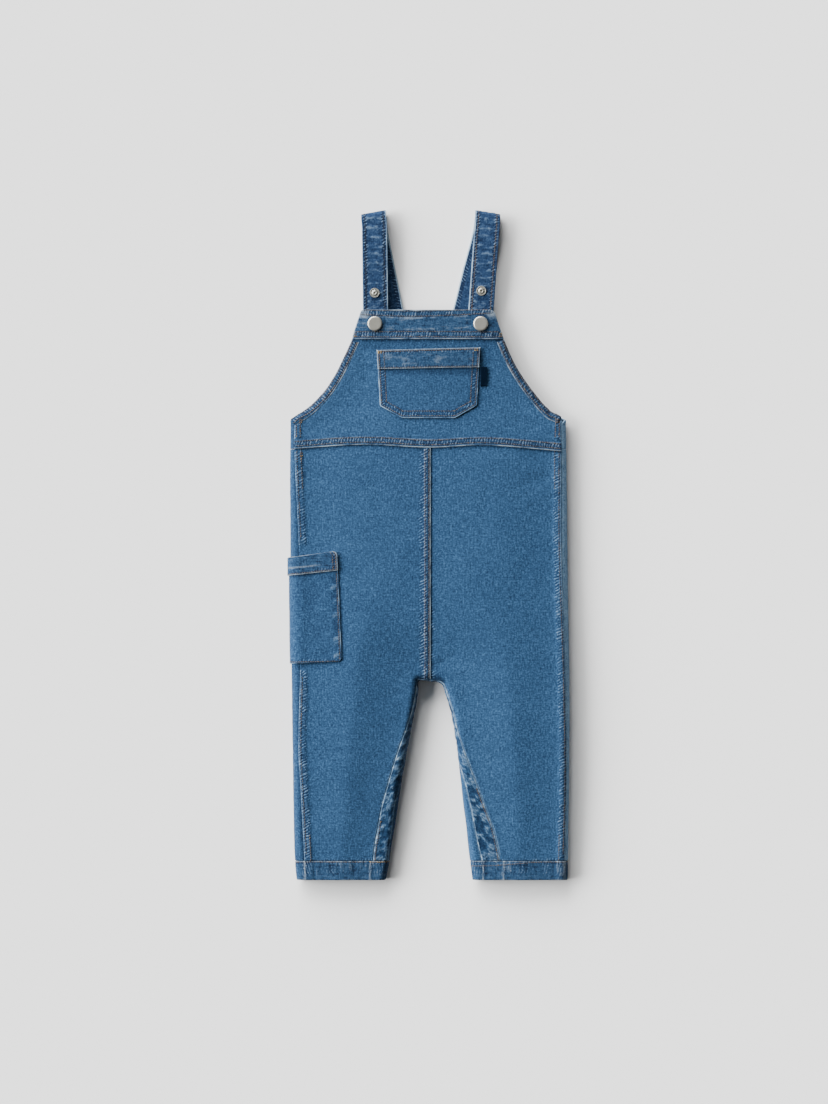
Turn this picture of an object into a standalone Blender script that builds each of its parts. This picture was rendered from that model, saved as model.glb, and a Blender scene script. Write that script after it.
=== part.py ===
"""Kids' denim dungarees laid flat on their back, straps up.

Each cut piece of cloth is its own closed wall, and each snap part its own turned solid.
Everything lies on one skin: a flattened tube whose top is a height over the surface that the
garment lies on, and whose sides roll round to a flat underside. Pieces are stretches of that
skin, or are moved out from it by the layers they lie on.

Tables are in millimetres. x runs across from the middle of the garment, up runs from the leg
hems to the fold of the straps, and z is the height over the surface. Left is at -x.
"""

import math
from bisect import bisect_right
from collections import namedtuple

import bmesh
import bpy
import numpy as np
from mathutils import Vector

MM = 0.001

# Driving sizes
LENGTH = 669.0  # leg hems to strap folds
CLOTH = 1.2  # one layer of denim
TRIM = 1.0  # one layer sewn on top, pressed flat
SEAM_GAP = 0.3  # between any two pieces that meet edge to edge
HALF_GAP = SEAM_GAP / 2
LAYER_GAP = 0.45  # under a piece that lies on another, clear of the facets below it
ON_TOP = LAYER_GAP + TRIM  # outer face of a piece that lies on the skin
ON_POCKET = ON_TOP + LAYER_GAP + TRIM  # outer face of a hem that lies on such a piece
WAIST_STRIP = 9.0
WAIST_JOIN = 4.5  # bib and trousers meet this far over the strip's lower edge, under its middle
HEM_HEIGHT = 19.2
CENTRE_X = 1.5  # centre-front and centre-back seams
CENTRE_STRIP = 7.0
CROTCH_CLEAR = 1.5  # the centre strip stops this far over the crotch edge
ARMHOLE_HEM = 7.5
ARMHOLE_EASE = 0.6  # the hem stands further off where the bib rolls into the side seam
ARMHOLE_EASE_ROWS = 6
BAND_FOOT = 539.6  # lower edge of the bib band
BIB_TOP = 569.0
BACK_WAIST = 430.0
STRAP_WIDTH = 25.4
STRAP_THICK = 2.0
CAP_RADIUS = 7.35
STUD_RADIUS = 5.1
NUDGE = 0.4  # step of the finite differences that give a surface's slope

# Outer edges of the laid garment, where its sides are widest
Edge = namedtuple("Edge", "up left right")
SIDE_EDGES = (
    Edge(0, -132.2, 138.5),
    Edge(14, -133.5, 138.6),
    Edge(34, -134.6, 139.0),
    Edge(114, -136.0, 140.0),
    Edge(194, -137.1, 140.3),
    Edge(274, -138.0, 139.0),
    Edge(404, -138.9, 137.4),
    Edge(459, -138.3, 136.6),
)

# Where the front pieces end along the sides
SIDE_SEAMS = (
    Edge(0, -123.6, 135.0),
    Edge(25, -124.7, 135.6),
    Edge(88, -128.0, 136.9),
    Edge(132, -130.2, 137.0),
    Edge(215, -128.7, 135.6),
    Edge(327, -129.9, 132.2),
    Edge(430, -134.4, 131.9),
    Edge(461.5, -134.0, 131.9),
)

# The waist seam's lower edge sags between the sides and the middle
WaistPoint = namedtuple("WaistPoint", "up height")
WAIST_LINE = (
    WaistPoint(-135, 430.0),
    WaistPoint(-65, 434.0),
    WaistPoint(1, 431.2),
    WaistPoint(56, 433.4),
    WaistPoint(132, 427.6),
)

# Edges of the bib: up the side seams, round the armholes and up the ends of the band
BIB_EDGES = (
    Edge(445.0, -134.4, 131.9),
    Edge(456.0, -134.3, 131.9),
    Edge(461.5, -133.9, 131.8),
    Edge(464.0, -130.6, 127.6),
    Edge(466.5, -126.3, 122.0),
    Edge(470.5, -121.0, 117.8),
    Edge(475.0, -115.8, 113.6),
    Edge(481.0, -110.0, 108.6),
    Edge(487.0, -104.8, 103.9),
    Edge(495.0, -99.0, 98.0),
    Edge(503.5, -93.9, 92.2),
    Edge(513.0, -88.9, 86.6),
    Edge(523.0, -84.2, 81.5),
    Edge(532.0, -80.0, 77.6),
    Edge(BAND_FOOT, -76.7, 74.5),
    Edge(546.0, -75.2, 72.4),
    Edge(557.5, -71.5, 68.5),
    Edge(BIB_TOP, -67.5, 64.7),
)

# How the tube's section changes: height of its widest line, height of its shoulders, the
# crown in the middle, how far in the shoulders stand, and the roll of the edge
# (0.5 is a quarter ellipse, 1 a shallow curl)
Section = namedtuple("Section", "up edge shoulder crown bulge roll")
SECTIONS = (
    Section(0, 6.0, 12.5, 3.0, 8.0, 0.5),
    Section(60, 6.5, 14.5, 4.0, 8.0, 0.5),
    Section(130, 7.0, 16.0, 4.5, 8.5, 0.5),
    Section(210, 6.5, 15.5, 5.0, 8.5, 0.5),
    Section(300, 6.0, 14.0, 5.5, 8.5, 0.5),
    Section(400, 6.0, 13.0, 4.5, 8.0, 0.5),
    Section(459, 6.0, 12.0, 3.5, 8.0, 0.5),
    Section(475, 7.5, 11.5, 3.0, 10.0, 1.0),
    Section(525, 9.0, 11.5, 2.0, 12.0, 1.0),
    Section(BIB_TOP, 10.5, 11.5, 0.6, 12.0, 1.0),
)
CROWN_REACH = 45.0  # how far in from the shoulders the crown is nearly full
BLEND = 3.0  # rounds the ridge where two sides are equally far

# Rows of the leg panels below the crotch. The outer end of a row is at the side; its inner
# end is on the inside-leg outline at x, up, which faces the way that inward gives in degrees.
# The two seams are insets from that outline: positive over the top, negative underneath.
LegRow = namedtuple("LegRow", "outer_up x up inward front_seam rear_seam")
HEM_ROW = HEM_HEIGHT + SEAM_GAP
LEFT_LEG = (
    LegRow(HEM_ROW, -39.4, HEM_ROW, 180, 16.7, 1.0),
    LegRow(34, -37.5, 34, 180, 17.0, 1.5),
    LegRow(54, -34.0, 54, 180, 17.0, 2.2),
    LegRow(74, -31.0, 74, 180, 16.3, 3.0),
    LegRow(94, -28.0, 94, 180, 13.8, 0.5),
    LegRow(114, -24.4, 114, 180, 11.5, -2.5),
    LegRow(134, -21.0, 134, 180, 8.5, -5.0),
    LegRow(154, -17.0, 154, 180, 5.0, -6.0),
    LegRow(172, -13.4, 172, 180, 3.0, -6.0),
    LegRow(187, -11.0, 188, 180, 2.2, -6.0),
    LegRow(197, -9.6, 198.1, 135, 2.0, -6.0),
    LegRow(212, CENTRE_X - HALF_GAP, 197.8, 90, 2.0, -6.0),
)
RIGHT_LEG = (
    LegRow(HEM_ROW, 40.8, HEM_ROW, 0, 30.4, 11.8),
    LegRow(34, 39.0, 34, 0, 29.5, 10.0),
    LegRow(54, 37.0, 54, 0, 26.5, 8.0),
    LegRow(74, 34.4, 74, 0, 21.5, 6.5),
    LegRow(94, 32.2, 94, 0, 16.5, 4.0),
    LegRow(114, 30.0, 114, 0, 11.0, 0.5),
    LegRow(134, 27.6, 134, 0, 6.0, -3.0),
    LegRow(154, 24.4, 154, 0, 3.2, -5.0),
    LegRow(172, 20.6, 172, 0, 2.5, -6.0),
    LegRow(184, 17.0, 184, 0, 2.2, -6.0),
    LegRow(194, 12.8, 195.3, 45, 2.0, -6.0),
    LegRow(212, CENTRE_X + HALF_GAP, 197.8, 90, 2.0, -6.0),
)
TORSO_ROWS = (220, 236, 256, 280, 305, 330, 360, 390, 415)
HEM_INSIDE = (-43.0, 43.3)  # inside edge of each leg at the floor of its hem
CENTRE_RUN = 12.0  # beside the centre-back seam, the columns that roll up to the gusset below it

# The back bib ends at the side seams up to the armholes, and above them at an inset from the
# sides: positive over the top, negative underneath
BACK_SIDES = (BACK_WAIST + HALF_GAP, 445.0, 455.0)
BackRow = namedtuple("BackRow", "up left right")
BACK_ARMHOLES = (
    BackRow(459, 1.5, 1.5),
    BackRow(462, -5.0, -5.5),
    BackRow(466, -14, -17),
    BackRow(471, -24, -27),
    BackRow(478, -37, -40),
    BackRow(486, -50, -53),
    BackRow(494, -64, -67),
    BackRow(500, -78, -80),
    BackRow(505, -96, -97),
)

# Chest pocket: its edges from the mouth down, and the slant of its mouth
CHEST_POCKET = (
    Edge(460.7, -26.2, 24.6),
    Edge(462.6, -31.6, 30.0),
    Edge(467.8, -40.2, 38.8),
    Edge(472.0, -46.6, 45.4),
    Edge(474.5, -48.7, 47.6),
    Edge(486.0, -49.5, 48.5),
    Edge(510.5, -51.0, 50.0),
    Edge(530.0, -52.2, 51.2),
)
POCKET_SLANT = 0.026
POCKET_HEM_FOOT = 510.5
TAB = Edge(492.6, 51.3, 57.7)
TAB_HEIGHT = 19.5

# Thigh pocket: its free edge on the front, and its height there and at the side
THIGH_EDGE_X = (-86.6, -91.1)
THIGH_FOOT = (218.3, 215.6)
THIGH_MOUTH = (327.9, 321.7)
THIGH_HEM = 19.0
THIGH_TURN = -38.0  # degrees below the widest line at which the pocket ends
THIGH_SLACK = 1.2

# Strap centre lines, from behind the bib up to the fold and back down to the back bib
StrapRow = namedtuple("StrapRow", "up x z tilt")
Strap = namedtuple("Strap", "front back fold_up fold_x fold_tilt")
FOLD_RADIUS = 4.4
STRAP_REST = 1.1
LEFT_STRAP = Strap(
    front=(
        StrapRow(534, -53.3, 6.9, 0.0),
        StrapRow(552, -53.3, 7.0, 0.0),
        StrapRow(569, -53.3, 7.7, 0.0),
        StrapRow(580, -53.4, 8.5, 0.5),
        StrapRow(598, -53.6, 9.5, 1.0),
        StrapRow(620, -53.9, 10.3, 2.0),
        StrapRow(642, -54.2, 10.4, 4.0),
        StrapRow(655, -54.5, 10.1, 7.0),
    ),
    back=(
        StrapRow(644, -53.2, STRAP_REST, 12.0),
        StrapRow(610, -46.6, STRAP_REST, 11.5),
        StrapRow(571, -38.8, STRAP_REST, 11.5),
        StrapRow(535, -31.7, 1.3, 11.5),
        StrapRow(514, -27.5, 2.3, 11.5),
        StrapRow(504, -25.5, 2.7, 11.5),
        StrapRow(492, -23.1, 2.7, 11.5),
    ),
    fold_up=661.4,
    fold_x=-55.2,
    fold_tilt=9.5,
)
RIGHT_STRAP = Strap(
    front=(
        StrapRow(534, 49.4, 6.9, -4.0),
        StrapRow(552, 50.7, 7.0, -4.0),
        StrapRow(569, 51.9, 7.7, -4.0),
        StrapRow(580, 52.7, 8.5, -4.2),
        StrapRow(598, 54.0, 9.5, -4.5),
        StrapRow(620, 55.6, 10.3, -5.0),
        StrapRow(642, 57.2, 10.4, -6.5),
        StrapRow(655, 58.3, 10.1, -8.0),
    ),
    back=(
        StrapRow(644, 55.9, STRAP_REST, -13.0),
        StrapRow(610, 47.0, STRAP_REST, -13.4),
        StrapRow(571, 37.3, STRAP_REST, -13.4),
        StrapRow(535, 28.3, 1.3, -13.4),
        StrapRow(514, 23.1, 2.3, -13.4),
        StrapRow(504, 20.6, 2.7, -13.4),
        StrapRow(492, 17.6, 2.7, -13.4),
    ),
    fold_up=661.4,
    fold_x=58.6,
    fold_tilt=-10.0,
)
FOLD_STEPS = 7

# Snap parts: where their middles are
SnapPoint = namedtuple("SnapPoint", "x up")
CAPS = {"left": SnapPoint(-54.0, 555.0), "right": SnapPoint(51.5, 555.0)}
STUDS = {"left": SnapPoint(-54.2, 586.0), "right": SnapPoint(52.2, 588.0)}

# Profiles of the turned parts, radius and height, from the axis round to the axis
Rim = namedtuple("Rim", "radius height")
CAP_PROFILE = (
    Rim(0, 2.1),
    Rim(4.6, 2.1),
    Rim(6.4, 1.8),
    Rim(CAP_RADIUS, 1.0),
    Rim(CAP_RADIUS, 0.4),
    Rim(6.7, 0),
    Rim(0, 0),
)
SOCKET_PROFILE = (Rim(0, 1.4), Rim(5.0, 1.4), Rim(5.4, 1.0), Rim(5.4, 0), Rim(0, 0))
STUD_PROFILE = (
    Rim(0, 0.9),
    Rim(1.2, 0.9),
    Rim(1.4, 2.3),
    Rim(2.5, 2.3),
    Rim(2.8, 1.2),
    Rim(4.6, 1.1),
    Rim(STUD_RADIUS, 0.6),
    Rim(STUD_RADIUS, 0),
    Rim(0, 0),
)
TURN_STEPS = 24

# Fractions across a panel, closer together where it rolls over
PANEL_STEPS = (0, 0.015, 0.035, 0.06, 0.1, 0.18, 0.3, 0.45, 0.6, 0.74, 0.85, 0.92, 0.965, 1)
BIB_HALF = (0, 0.01, 0.025, 0.045, 0.08, 0.15, 0.26, 0.4)
BIB_STEPS = BIB_HALF + (0.5,) + tuple(1 - t for t in reversed(BIB_HALF))
CENTRE_STEPS = (0, 0.02, 0.05, 0.1, 0.2, 0.3, 0.4, 0.5, 0.6, 0.7, 0.8, 0.9, 1)
WRAP_STEPS = (0, 0.06, 0.2, 0.36, 0.5, 0.6, 0.68, 0.75, 0.82, 0.88, 0.94, 1)


def read(table, column, at):
    """Value of a column at a height, on a smooth curve through the table's rows."""
    keys = [row.up for row in table]
    values = [getattr(row, column) for row in table]
    if at <= keys[0]:
        return values[0]
    if at >= keys[-1]:
        return values[-1]
    i = bisect_right(keys, at) - 1
    span = keys[i + 1] - keys[i]

    def slope(k):
        before, after = max(k - 1, 0), min(k + 1, len(keys) - 1)
        return (values[after] - values[before]) / (keys[after] - keys[before])

    t = (at - keys[i]) / span
    rise = values[i + 1] - values[i]
    ease = t * t * (3 - 2 * t)
    bend = span * (slope(i) * t * (1 - t) ** 2 - slope(i + 1) * t * t * (1 - t))
    return values[i] + rise * ease + bend


def mix(a, b, t):
    """The value a fraction t of the way from a to b."""
    return a + (b - a) * t


def steps(count):
    """Even fractions from 0 to 1."""
    return [k / count for k in range(count + 1)]


def outline_chains():
    """The plan outlines that the skin rolls away from: both sides, and the inside legs."""
    chains = []
    for side in ("left", "right"):
        rows = list(SIDE_EDGES) + [row for row in BIB_EDGES if row.up > 461]
        chains.append([(read_edge(row, side), row.up) for row in rows])
    left = [(HEM_INSIDE[0], 0.0)] + [(row.x, row.up) for row in LEFT_LEG]
    right = [(row.x, row.up) for row in reversed(RIGHT_LEG)] + [(HEM_INSIDE[1], 0.0)]
    chains.append(left + right)
    return [np.array(chain, dtype=float) for chain in chains]


def read_edge(row, side):
    """One side's value of a row."""
    return row.left if side == "left" else row.right


CHAINS = outline_chains()


def chain_distance(chain, x, up):
    """Shortest distance in plan from a point to an open chain."""
    start, run = chain[:-1], np.diff(chain, axis=0)
    away = np.array((x, up)) - start
    t = np.clip((away * run).sum(axis=1) / (run * run).sum(axis=1), 0, 1)
    return float(np.hypot(*(away - run * t[:, None]).T).min())


def inset_of(x, up):
    """How far a point lies inside the outline, with the ridges between sides rounded."""
    total = sum(math.exp(-chain_distance(chain, x, up) / BLEND) for chain in CHAINS)
    return max(0.0, -BLEND * math.log(total))


def top_height(x, up):
    """Height of the skin's upper side over a point."""
    edge, shoulder, crown, bulge, roll = (read(SECTIONS, name, up) for name in Section._fields[1:])
    inset = inset_of(x, up)
    t = min(1.0, inset / bulge)
    rolled = (1 - (1 - t) ** 2) ** roll
    fullness = 1 - math.exp(-((max(0.0, inset - bulge) / CROWN_REACH) ** 2))
    return edge + (shoulder - edge) * rolled + crown * fullness


def on_top(x, up, lift=0.0):
    """A point on the upper side of the skin, moved out by lift."""
    z = top_height(x, up)
    run = (top_height(x + NUDGE, up) - top_height(x - NUDGE, up)) / (2 * NUDGE)
    rise = (top_height(x, up + NUDGE) - top_height(x, up - NUDGE)) / (2 * NUDGE)
    return Vector((x, up, z)) + Vector((-run, -rise, 1)).normalized() * lift


def quarter_girth(up):
    """Length of cloth from the widest line to a shoulder, or to the floor."""
    bulge = read(SECTIONS, "bulge", up)
    height = read(SECTIONS, "shoulder", up) / 2
    return math.pi / 4 * (bulge + height)


def girth_of(inset, up):
    """Cloth length from the widest line to a signed inset."""
    bulge, quarter = read(SECTIONS, "bulge", up), quarter_girth(up)
    size = abs(inset)
    length = quarter + size - bulge if size > bulge else quarter * math.acos(1 - size / bulge) / (math.pi / 2)
    return math.copysign(length, inset)


def on_rim(x, up, inward, girth, lift=0.0):
    """A point at a girth over (+) or under (-) the widest line at x, up, moved out by lift."""
    bulge, edge, shoulder = (read(SECTIONS, name, up) for name in ("bulge", "edge", "shoulder"))
    quarter = quarter_girth(up)
    way = Vector((math.cos(math.radians(inward)), math.sin(math.radians(inward)), 0))
    foot = Vector((x, up, 0))
    if girth > quarter:
        spot = foot + way * (bulge + girth - quarter)
        return on_top(spot.x, spot.y, lift)
    if girth < -quarter:
        return foot + way * (bulge - girth - quarter) + Vector((0, 0, -lift))
    turn = girth / quarter * math.pi / 2
    height = shoulder - edge if turn > 0 else edge
    spot = foot + way * bulge * (1 - math.cos(turn)) + Vector((0, 0, edge + height * math.sin(turn)))
    normal = -way * height * math.cos(turn) + Vector((0, 0, bulge * math.sin(turn)))
    return spot + normal.normalized() * lift


def to_world(spot):
    """Millimetres over the hem to metres about the middle of the garment."""
    return Vector((spot.x, spot.y - LENGTH / 2, spot.z)) * MM


def finish(name, colour, roughness, metallic=0.0):
    """A material with one colour, for the solids."""
    material = bpy.data.materials.new(name)
    material.use_nodes = True
    shader = material.node_tree.nodes["Principled BSDF"]
    shader.inputs["Base Color"].default_value = (*colour, 1)
    shader.inputs["Roughness"].default_value = roughness
    shader.inputs["Metallic"].default_value = metallic
    return material


def keep(name, bm, material, smooth_below=40):
    """Makes a mesh that faces outwards into a named object."""
    bmesh.ops.recalc_face_normals(bm, faces=bm.faces[:])
    if bm.calc_volume(signed=True) < 0:
        bmesh.ops.reverse_faces(bm, faces=bm.faces[:])
    mesh = bpy.data.meshes.new(name)
    bm.to_mesh(mesh)
    bm.free()
    mesh.materials.append(material)
    mesh.shade_smooth()
    mesh.set_sharp_from_angle(angle=math.radians(smooth_below))
    part = bpy.data.objects.new(name, mesh)
    bpy.context.scene.collection.objects.link(part)
    return part


def cloth(name, material, place, across, along, outer=0.0, wall=CLOTH):
    """A closed wall of cloth: a grid set out by place(u, v, lift), given its thickness."""
    bm = bmesh.new()
    bmesh.ops.create_grid(bm, x_segments=len(across) - 1, y_segments=len(along) - 1, size=0.5)
    inner = bmesh.ops.extrude_face_region(bm, geom=bm.faces[:])["geom"]
    inner = {item for item in inner if isinstance(item, bmesh.types.BMVert)}
    for vert in bm.verts:
        u = across[round((vert.co.x + 0.5) * (len(across) - 1))]
        v = along[round((vert.co.y + 0.5) * (len(along) - 1))]
        vert.co = to_world(place(u, v, outer - wall if vert in inner else outer))
    return keep(name, bm, material)


def ring(name, material, place, sides, outer, wall):
    """A closed band round a leg: place(k, v, lift) for k of the sides and v of 0 or 1."""
    bm = bmesh.new()
    bmesh.ops.create_cone(bm, cap_ends=False, segments=sides, radius1=1, radius2=1, depth=1)
    inner = bmesh.ops.extrude_face_region(bm, geom=bm.faces[:])["geom"]
    inner = {item for item in inner if isinstance(item, bmesh.types.BMVert)}
    for vert in bm.verts:
        turn = math.atan2(vert.co.y, vert.co.x) / math.tau * sides
        v = 1 if vert.co.z > 0 else 0
        vert.co = to_world(place(round(turn) % sides, v, outer - wall if vert in inner else outer))
    return keep(name, bm, material)


def turned(name, material, profile, seat, normal):
    """A round part turned from a profile, standing on seat along normal."""
    bm = bmesh.new()
    verts = [bm.verts.new((radius * MM, 0, height * MM)) for radius, height in profile]
    edges = [bm.edges.new(pair) for pair in zip(verts, verts[1:])]
    bmesh.ops.spin(bm, geom=verts + edges, cent=(0, 0, 0), axis=(0, 0, 1), dvec=(0, 0, 0),
                   angle=math.tau, steps=TURN_STEPS, use_merge=True, use_duplicate=False)
    bmesh.ops.remove_doubles(bm, verts=bm.verts[:], dist=MM * 0.01)
    turn = Vector((0, 0, 1)).rotation_difference(normal).to_matrix()
    bmesh.ops.rotate(bm, verts=bm.verts[:], cent=(0, 0, 0), matrix=turn)
    bmesh.ops.translate(bm, verts=bm.verts[:], vec=to_world(seat))
    return keep(name, bm, material, smooth_below=30)


def side_seam(side, up):
    """The side's widest x, the way inward from it, and the cloth length over to the seam."""
    edge_x = read(SIDE_EDGES, side, up)
    inset = abs(read(SIDE_SEAMS, side, up) - edge_x)
    return edge_x, 0 if side == "left" else 180, girth_of(inset, up)


def waist_height(x):
    """Height of the waist seam's lower edge at x."""
    return read(WAIST_LINE, "height", x)


def half_rows(leg):
    """Rows of a trouser half from the hem to the waist: a leg row, or a height above it."""
    return list(leg) + list(TORSO_ROWS)


def front_leg(side, leg, material):
    """A trouser front: from the side seam in to the centre, the crotch and the gusset."""
    sign = -1 if side == "left" else 1
    rows = half_rows(leg) + [None]

    def place(u, row, lift):
        is_leg = isinstance(row, LegRow)
        outer_up = row.outer_up if is_leg else row or BACK_WAIST
        edge_x, away, seam = side_seam(side, outer_up)
        outer = on_rim(edge_x, outer_up, away, seam + HALF_GAP)
        if row is None:
            x = mix(outer.x, CENTRE_X + sign * HALF_GAP, u)
            return on_top(x, waist_height(x) + WAIST_JOIN - SEAM_GAP, lift)
        if is_leg:
            inner = on_rim(row.x, row.up, row.inward, girth_of(row.front_seam, row.up) + HALF_GAP)
        else:
            inner = Vector((CENTRE_X + sign * HALF_GAP, row, 0))
        return on_top(mix(outer.x, inner.x, u), mix(outer.y, inner.y, u), lift)

    return cloth(f"front_leg_{side}", material, place, PANEL_STEPS, rows)


def back_leg(side, leg, material):
    """A trouser back: rolls down from the side seam, lies flat and rolls up to the gusset."""
    sign = -1 if side == "left" else 1
    rows = half_rows(leg) + [BACK_WAIST - HALF_GAP]
    roll = [("side", t) for t in steps(7)]
    floor = [("floor", t) for t in steps(5)[1:]]
    rise = [("rise", t) for t in steps(4)[1:]]

    def place(column, row, lift):
        part, t = column
        is_leg = isinstance(row, LegRow)
        outer_up = row.outer_up if is_leg else row
        edge_x, away, seam = side_seam(side, outer_up)
        down = -quarter_girth(outer_up)
        if part == "side":
            return on_rim(edge_x, outer_up, away, mix(seam - HALF_GAP, down, t), lift)
        start = on_rim(edge_x, outer_up, away, down)
        if is_leg and row.inward in (0, 45, 135, 180):
            rear = girth_of(row.rear_seam, row.up) - HALF_GAP
            inner_down = -quarter_girth(row.up)
            if part == "rise":
                return on_rim(row.x, row.up, row.inward, mix(inner_down, rear, t), lift)
            end = on_rim(row.x, row.up, row.inward, inner_down)
            return start.lerp(end, t) + Vector((0, 0, -lift))
        if is_leg:
            rear = girth_of(row.rear_seam, row.up) - HALF_GAP
            last = on_rim(row.x, row.up, row.inward, rear)
        else:
            last = Vector((CENTRE_X + sign * HALF_GAP, row, 0))
        near = last.lerp(start, CENTRE_RUN / (last - start).length)
        near.z = 0
        spot = start.lerp(near, t) if part == "floor" else near.lerp(last, t)
        return spot + Vector((0, 0, -lift))

    return cloth(f"back_leg_{side}", material, place, roll + floor + rise, rows)


def gusset(side, leg, material):
    """An inside-leg insert, from the front seam over and under the widest line."""

    def place(u, row, lift):
        front = girth_of(row.front_seam, row.up) - HALF_GAP
        rear = girth_of(row.rear_seam, row.up) + HALF_GAP
        return on_rim(row.x, row.up, row.inward, mix(front, rear, u), lift)

    return cloth(f"gusset_{side}", material, place, steps(6), list(leg))


def leg_hem(side, leg, material):
    """The turned hem: a doubled band all round the leg's end."""
    index = 0 if side == "left" else 1
    sign = -1 if side == "left" else 1
    top, outside, floor, inside = 9, 6, 7, 6
    sides = top + outside + floor + inside

    def place(k, v, lift):
        up = HEM_HEIGHT * v
        outer_x = read(SIDE_EDGES, side, up)
        inner_x = mix(HEM_INSIDE[index], leg[0].x, v * HEM_HEIGHT / leg[0].up)
        quarter = quarter_girth(up)
        bulge = read(SECTIONS, "bulge", up)
        if k < top:
            x = mix(inner_x + sign * bulge, outer_x - sign * bulge, k / top)
            return on_top(x, up, lift)
        if k < top + outside:
            return on_rim(outer_x, up, 90 + 90 * sign, mix(quarter, -quarter, (k - top) / outside), lift)
        if k < top + outside + floor:
            x = mix(outer_x - sign * bulge, inner_x + sign * bulge, (k - top - outside) / floor)
            return Vector((x, up, -lift))
        turn = mix(-quarter, quarter, (k - top - outside - floor) / inside)
        return on_rim(inner_x, up, 90 - 90 * sign, turn, lift)

    return ring(f"leg_hem_{side}", material, place, sides, outer=0.0, wall=2 * CLOTH)


def bib_panel(material):
    """The front bib, from the waist seam to its top edge."""
    rows = [None] + [row.up for row in BIB_EDGES]

    def place(u, up, lift):
        ends = []
        for side in ("left", "right"):
            if up is None or up < BACK_ARMHOLES[0].up:
                edge_x, away, seam = side_seam(side, up or BACK_WAIST)
                ends.append(on_rim(edge_x, up or BACK_WAIST, away, seam + HALF_GAP).x)
            else:
                ends.append(read(BIB_EDGES, side, up))
        x = mix(*ends, u)
        return on_top(x, waist_height(x) + WAIST_JOIN + SEAM_GAP if up is None else up, lift)

    return cloth("bib_panel", material, place, BIB_STEPS, rows)


def bib_band(material):
    """The doubled band across the top of the bib."""
    rows = [row.up for row in BIB_EDGES if row.up >= BAND_FOOT]

    def place(u, up, lift):
        x = mix(read(BIB_EDGES, "left", up), read(BIB_EDGES, "right", up), u)
        return on_top(x, up, lift)

    return cloth("bib_band", material, place, BIB_STEPS, rows, ON_TOP, TRIM)


def armhole_hem(side, material):
    """The turned edge of the bib along one armhole."""
    rows = [row for row in BIB_EDGES if 461 < row.up < BAND_FOOT]
    rows.append(Edge(BAND_FOOT - SEAM_GAP, *(read(BIB_EDGES, s, BAND_FOOT - SEAM_GAP) for s in ("left", "right"))))
    points = [Vector((read_edge(row, side), row.up)) for row in rows]
    sign = 1 if side == "left" else -1

    def place(u, k, lift):
        before, after = points[max(k - 1, 0)], points[min(k + 1, len(points) - 1)]
        way = (after - before).normalized()
        inward = Vector((way.y, -way.x)) * sign
        if k == len(points) - 1:
            inward = Vector((sign, 0))
        spot = points[k] + inward * ARMHOLE_HEM * u
        ease = ARMHOLE_EASE * max(0.0, 1 - k / ARMHOLE_EASE_ROWS)
        return on_top(spot.x, min(spot.y, rows[-1].up), lift + ease)

    return cloth(f"armhole_hem_{side}", material, place, steps(4), list(range(len(points))), ON_TOP, TRIM)


def waist_seam(material):
    """The felled strip that joins the bib to the trousers."""

    def place(u, v, lift):
        x = mix(BIB_EDGES[0].left, BIB_EDGES[0].right, u)
        return on_top(x, waist_height(x) + WAIST_STRIP * v, lift)

    return cloth("waist_seam", material, place, steps(26), steps(1), ON_TOP, TRIM)


def centre_seam(leg, material):
    """The felled strip down the centre front, from the waist seam to the crotch."""
    foot = leg[-1].up + leg[-1].front_seam + CROTCH_CLEAR

    def place(u, v, lift):
        x = CENTRE_X + SEAM_GAP - CENTRE_STRIP * (1 - u)
        return on_top(x, mix(foot, waist_height(x) - SEAM_GAP, v), lift)

    return cloth("centre_seam", material, place, steps(2), CENTRE_STEPS, ON_TOP, TRIM)


def back_bib(material):
    """The back yoke: rolls down from both side seams and is cut in to the strap base."""
    half = [("left", t) for t in steps(7)]
    floor = [("floor", t) for t in steps(8)[1:-1]]
    other = [("right", 1 - t) for t in steps(7)]

    def place(column, row, lift):
        part, t = column
        if part == "floor":
            start, end = (place((s, 1), row, 0) for s in ("left", "right"))
            return start.lerp(end, t) + Vector((0, 0, -lift))
        up = getattr(row, "up", row)
        edge_x, away, seam = side_seam(part, up)
        edge = seam - HALF_GAP if up is row else girth_of(read_edge(row, part), up)
        down = min(-quarter_girth(up), edge - 1.5)
        return on_rim(edge_x, up, away, mix(edge, down, t), lift)

    return cloth("back_bib", material, place, half + floor + other, BACK_SIDES + BACK_ARMHOLES)


def chest_pocket(material, hem_material):
    """The patch pocket on the bib and its turned mouth."""

    def place(u, up, lift):
        x = mix(read(CHEST_POCKET, "left", up), read(CHEST_POCKET, "right", up), u)
        slant = POCKET_SLANT * x * (up - CHEST_POCKET[0].up) / (CHEST_POCKET[-1].up - CHEST_POCKET[0].up)
        return on_top(x, up + slant, lift)

    rows = [row.up for row in CHEST_POCKET]
    cloth("chest_pocket", material, place, steps(8), rows, ON_TOP, TRIM)
    mouth = [mix(POCKET_HEM_FOOT, CHEST_POCKET[-1].up, t) for t in steps(2)]
    cloth("chest_pocket_hem", hem_material, place, steps(8), mouth, ON_POCKET, TRIM)


def side_tab(material):
    """The bare woven tab beside the chest pocket."""

    def place(u, v, lift):
        return on_top(mix(TAB.left, TAB.right, u), TAB.up + TAB_HEIGHT * v, lift)

    return cloth("side_tab", material, place, steps(2), steps(3), ON_TOP, TRIM)


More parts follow.
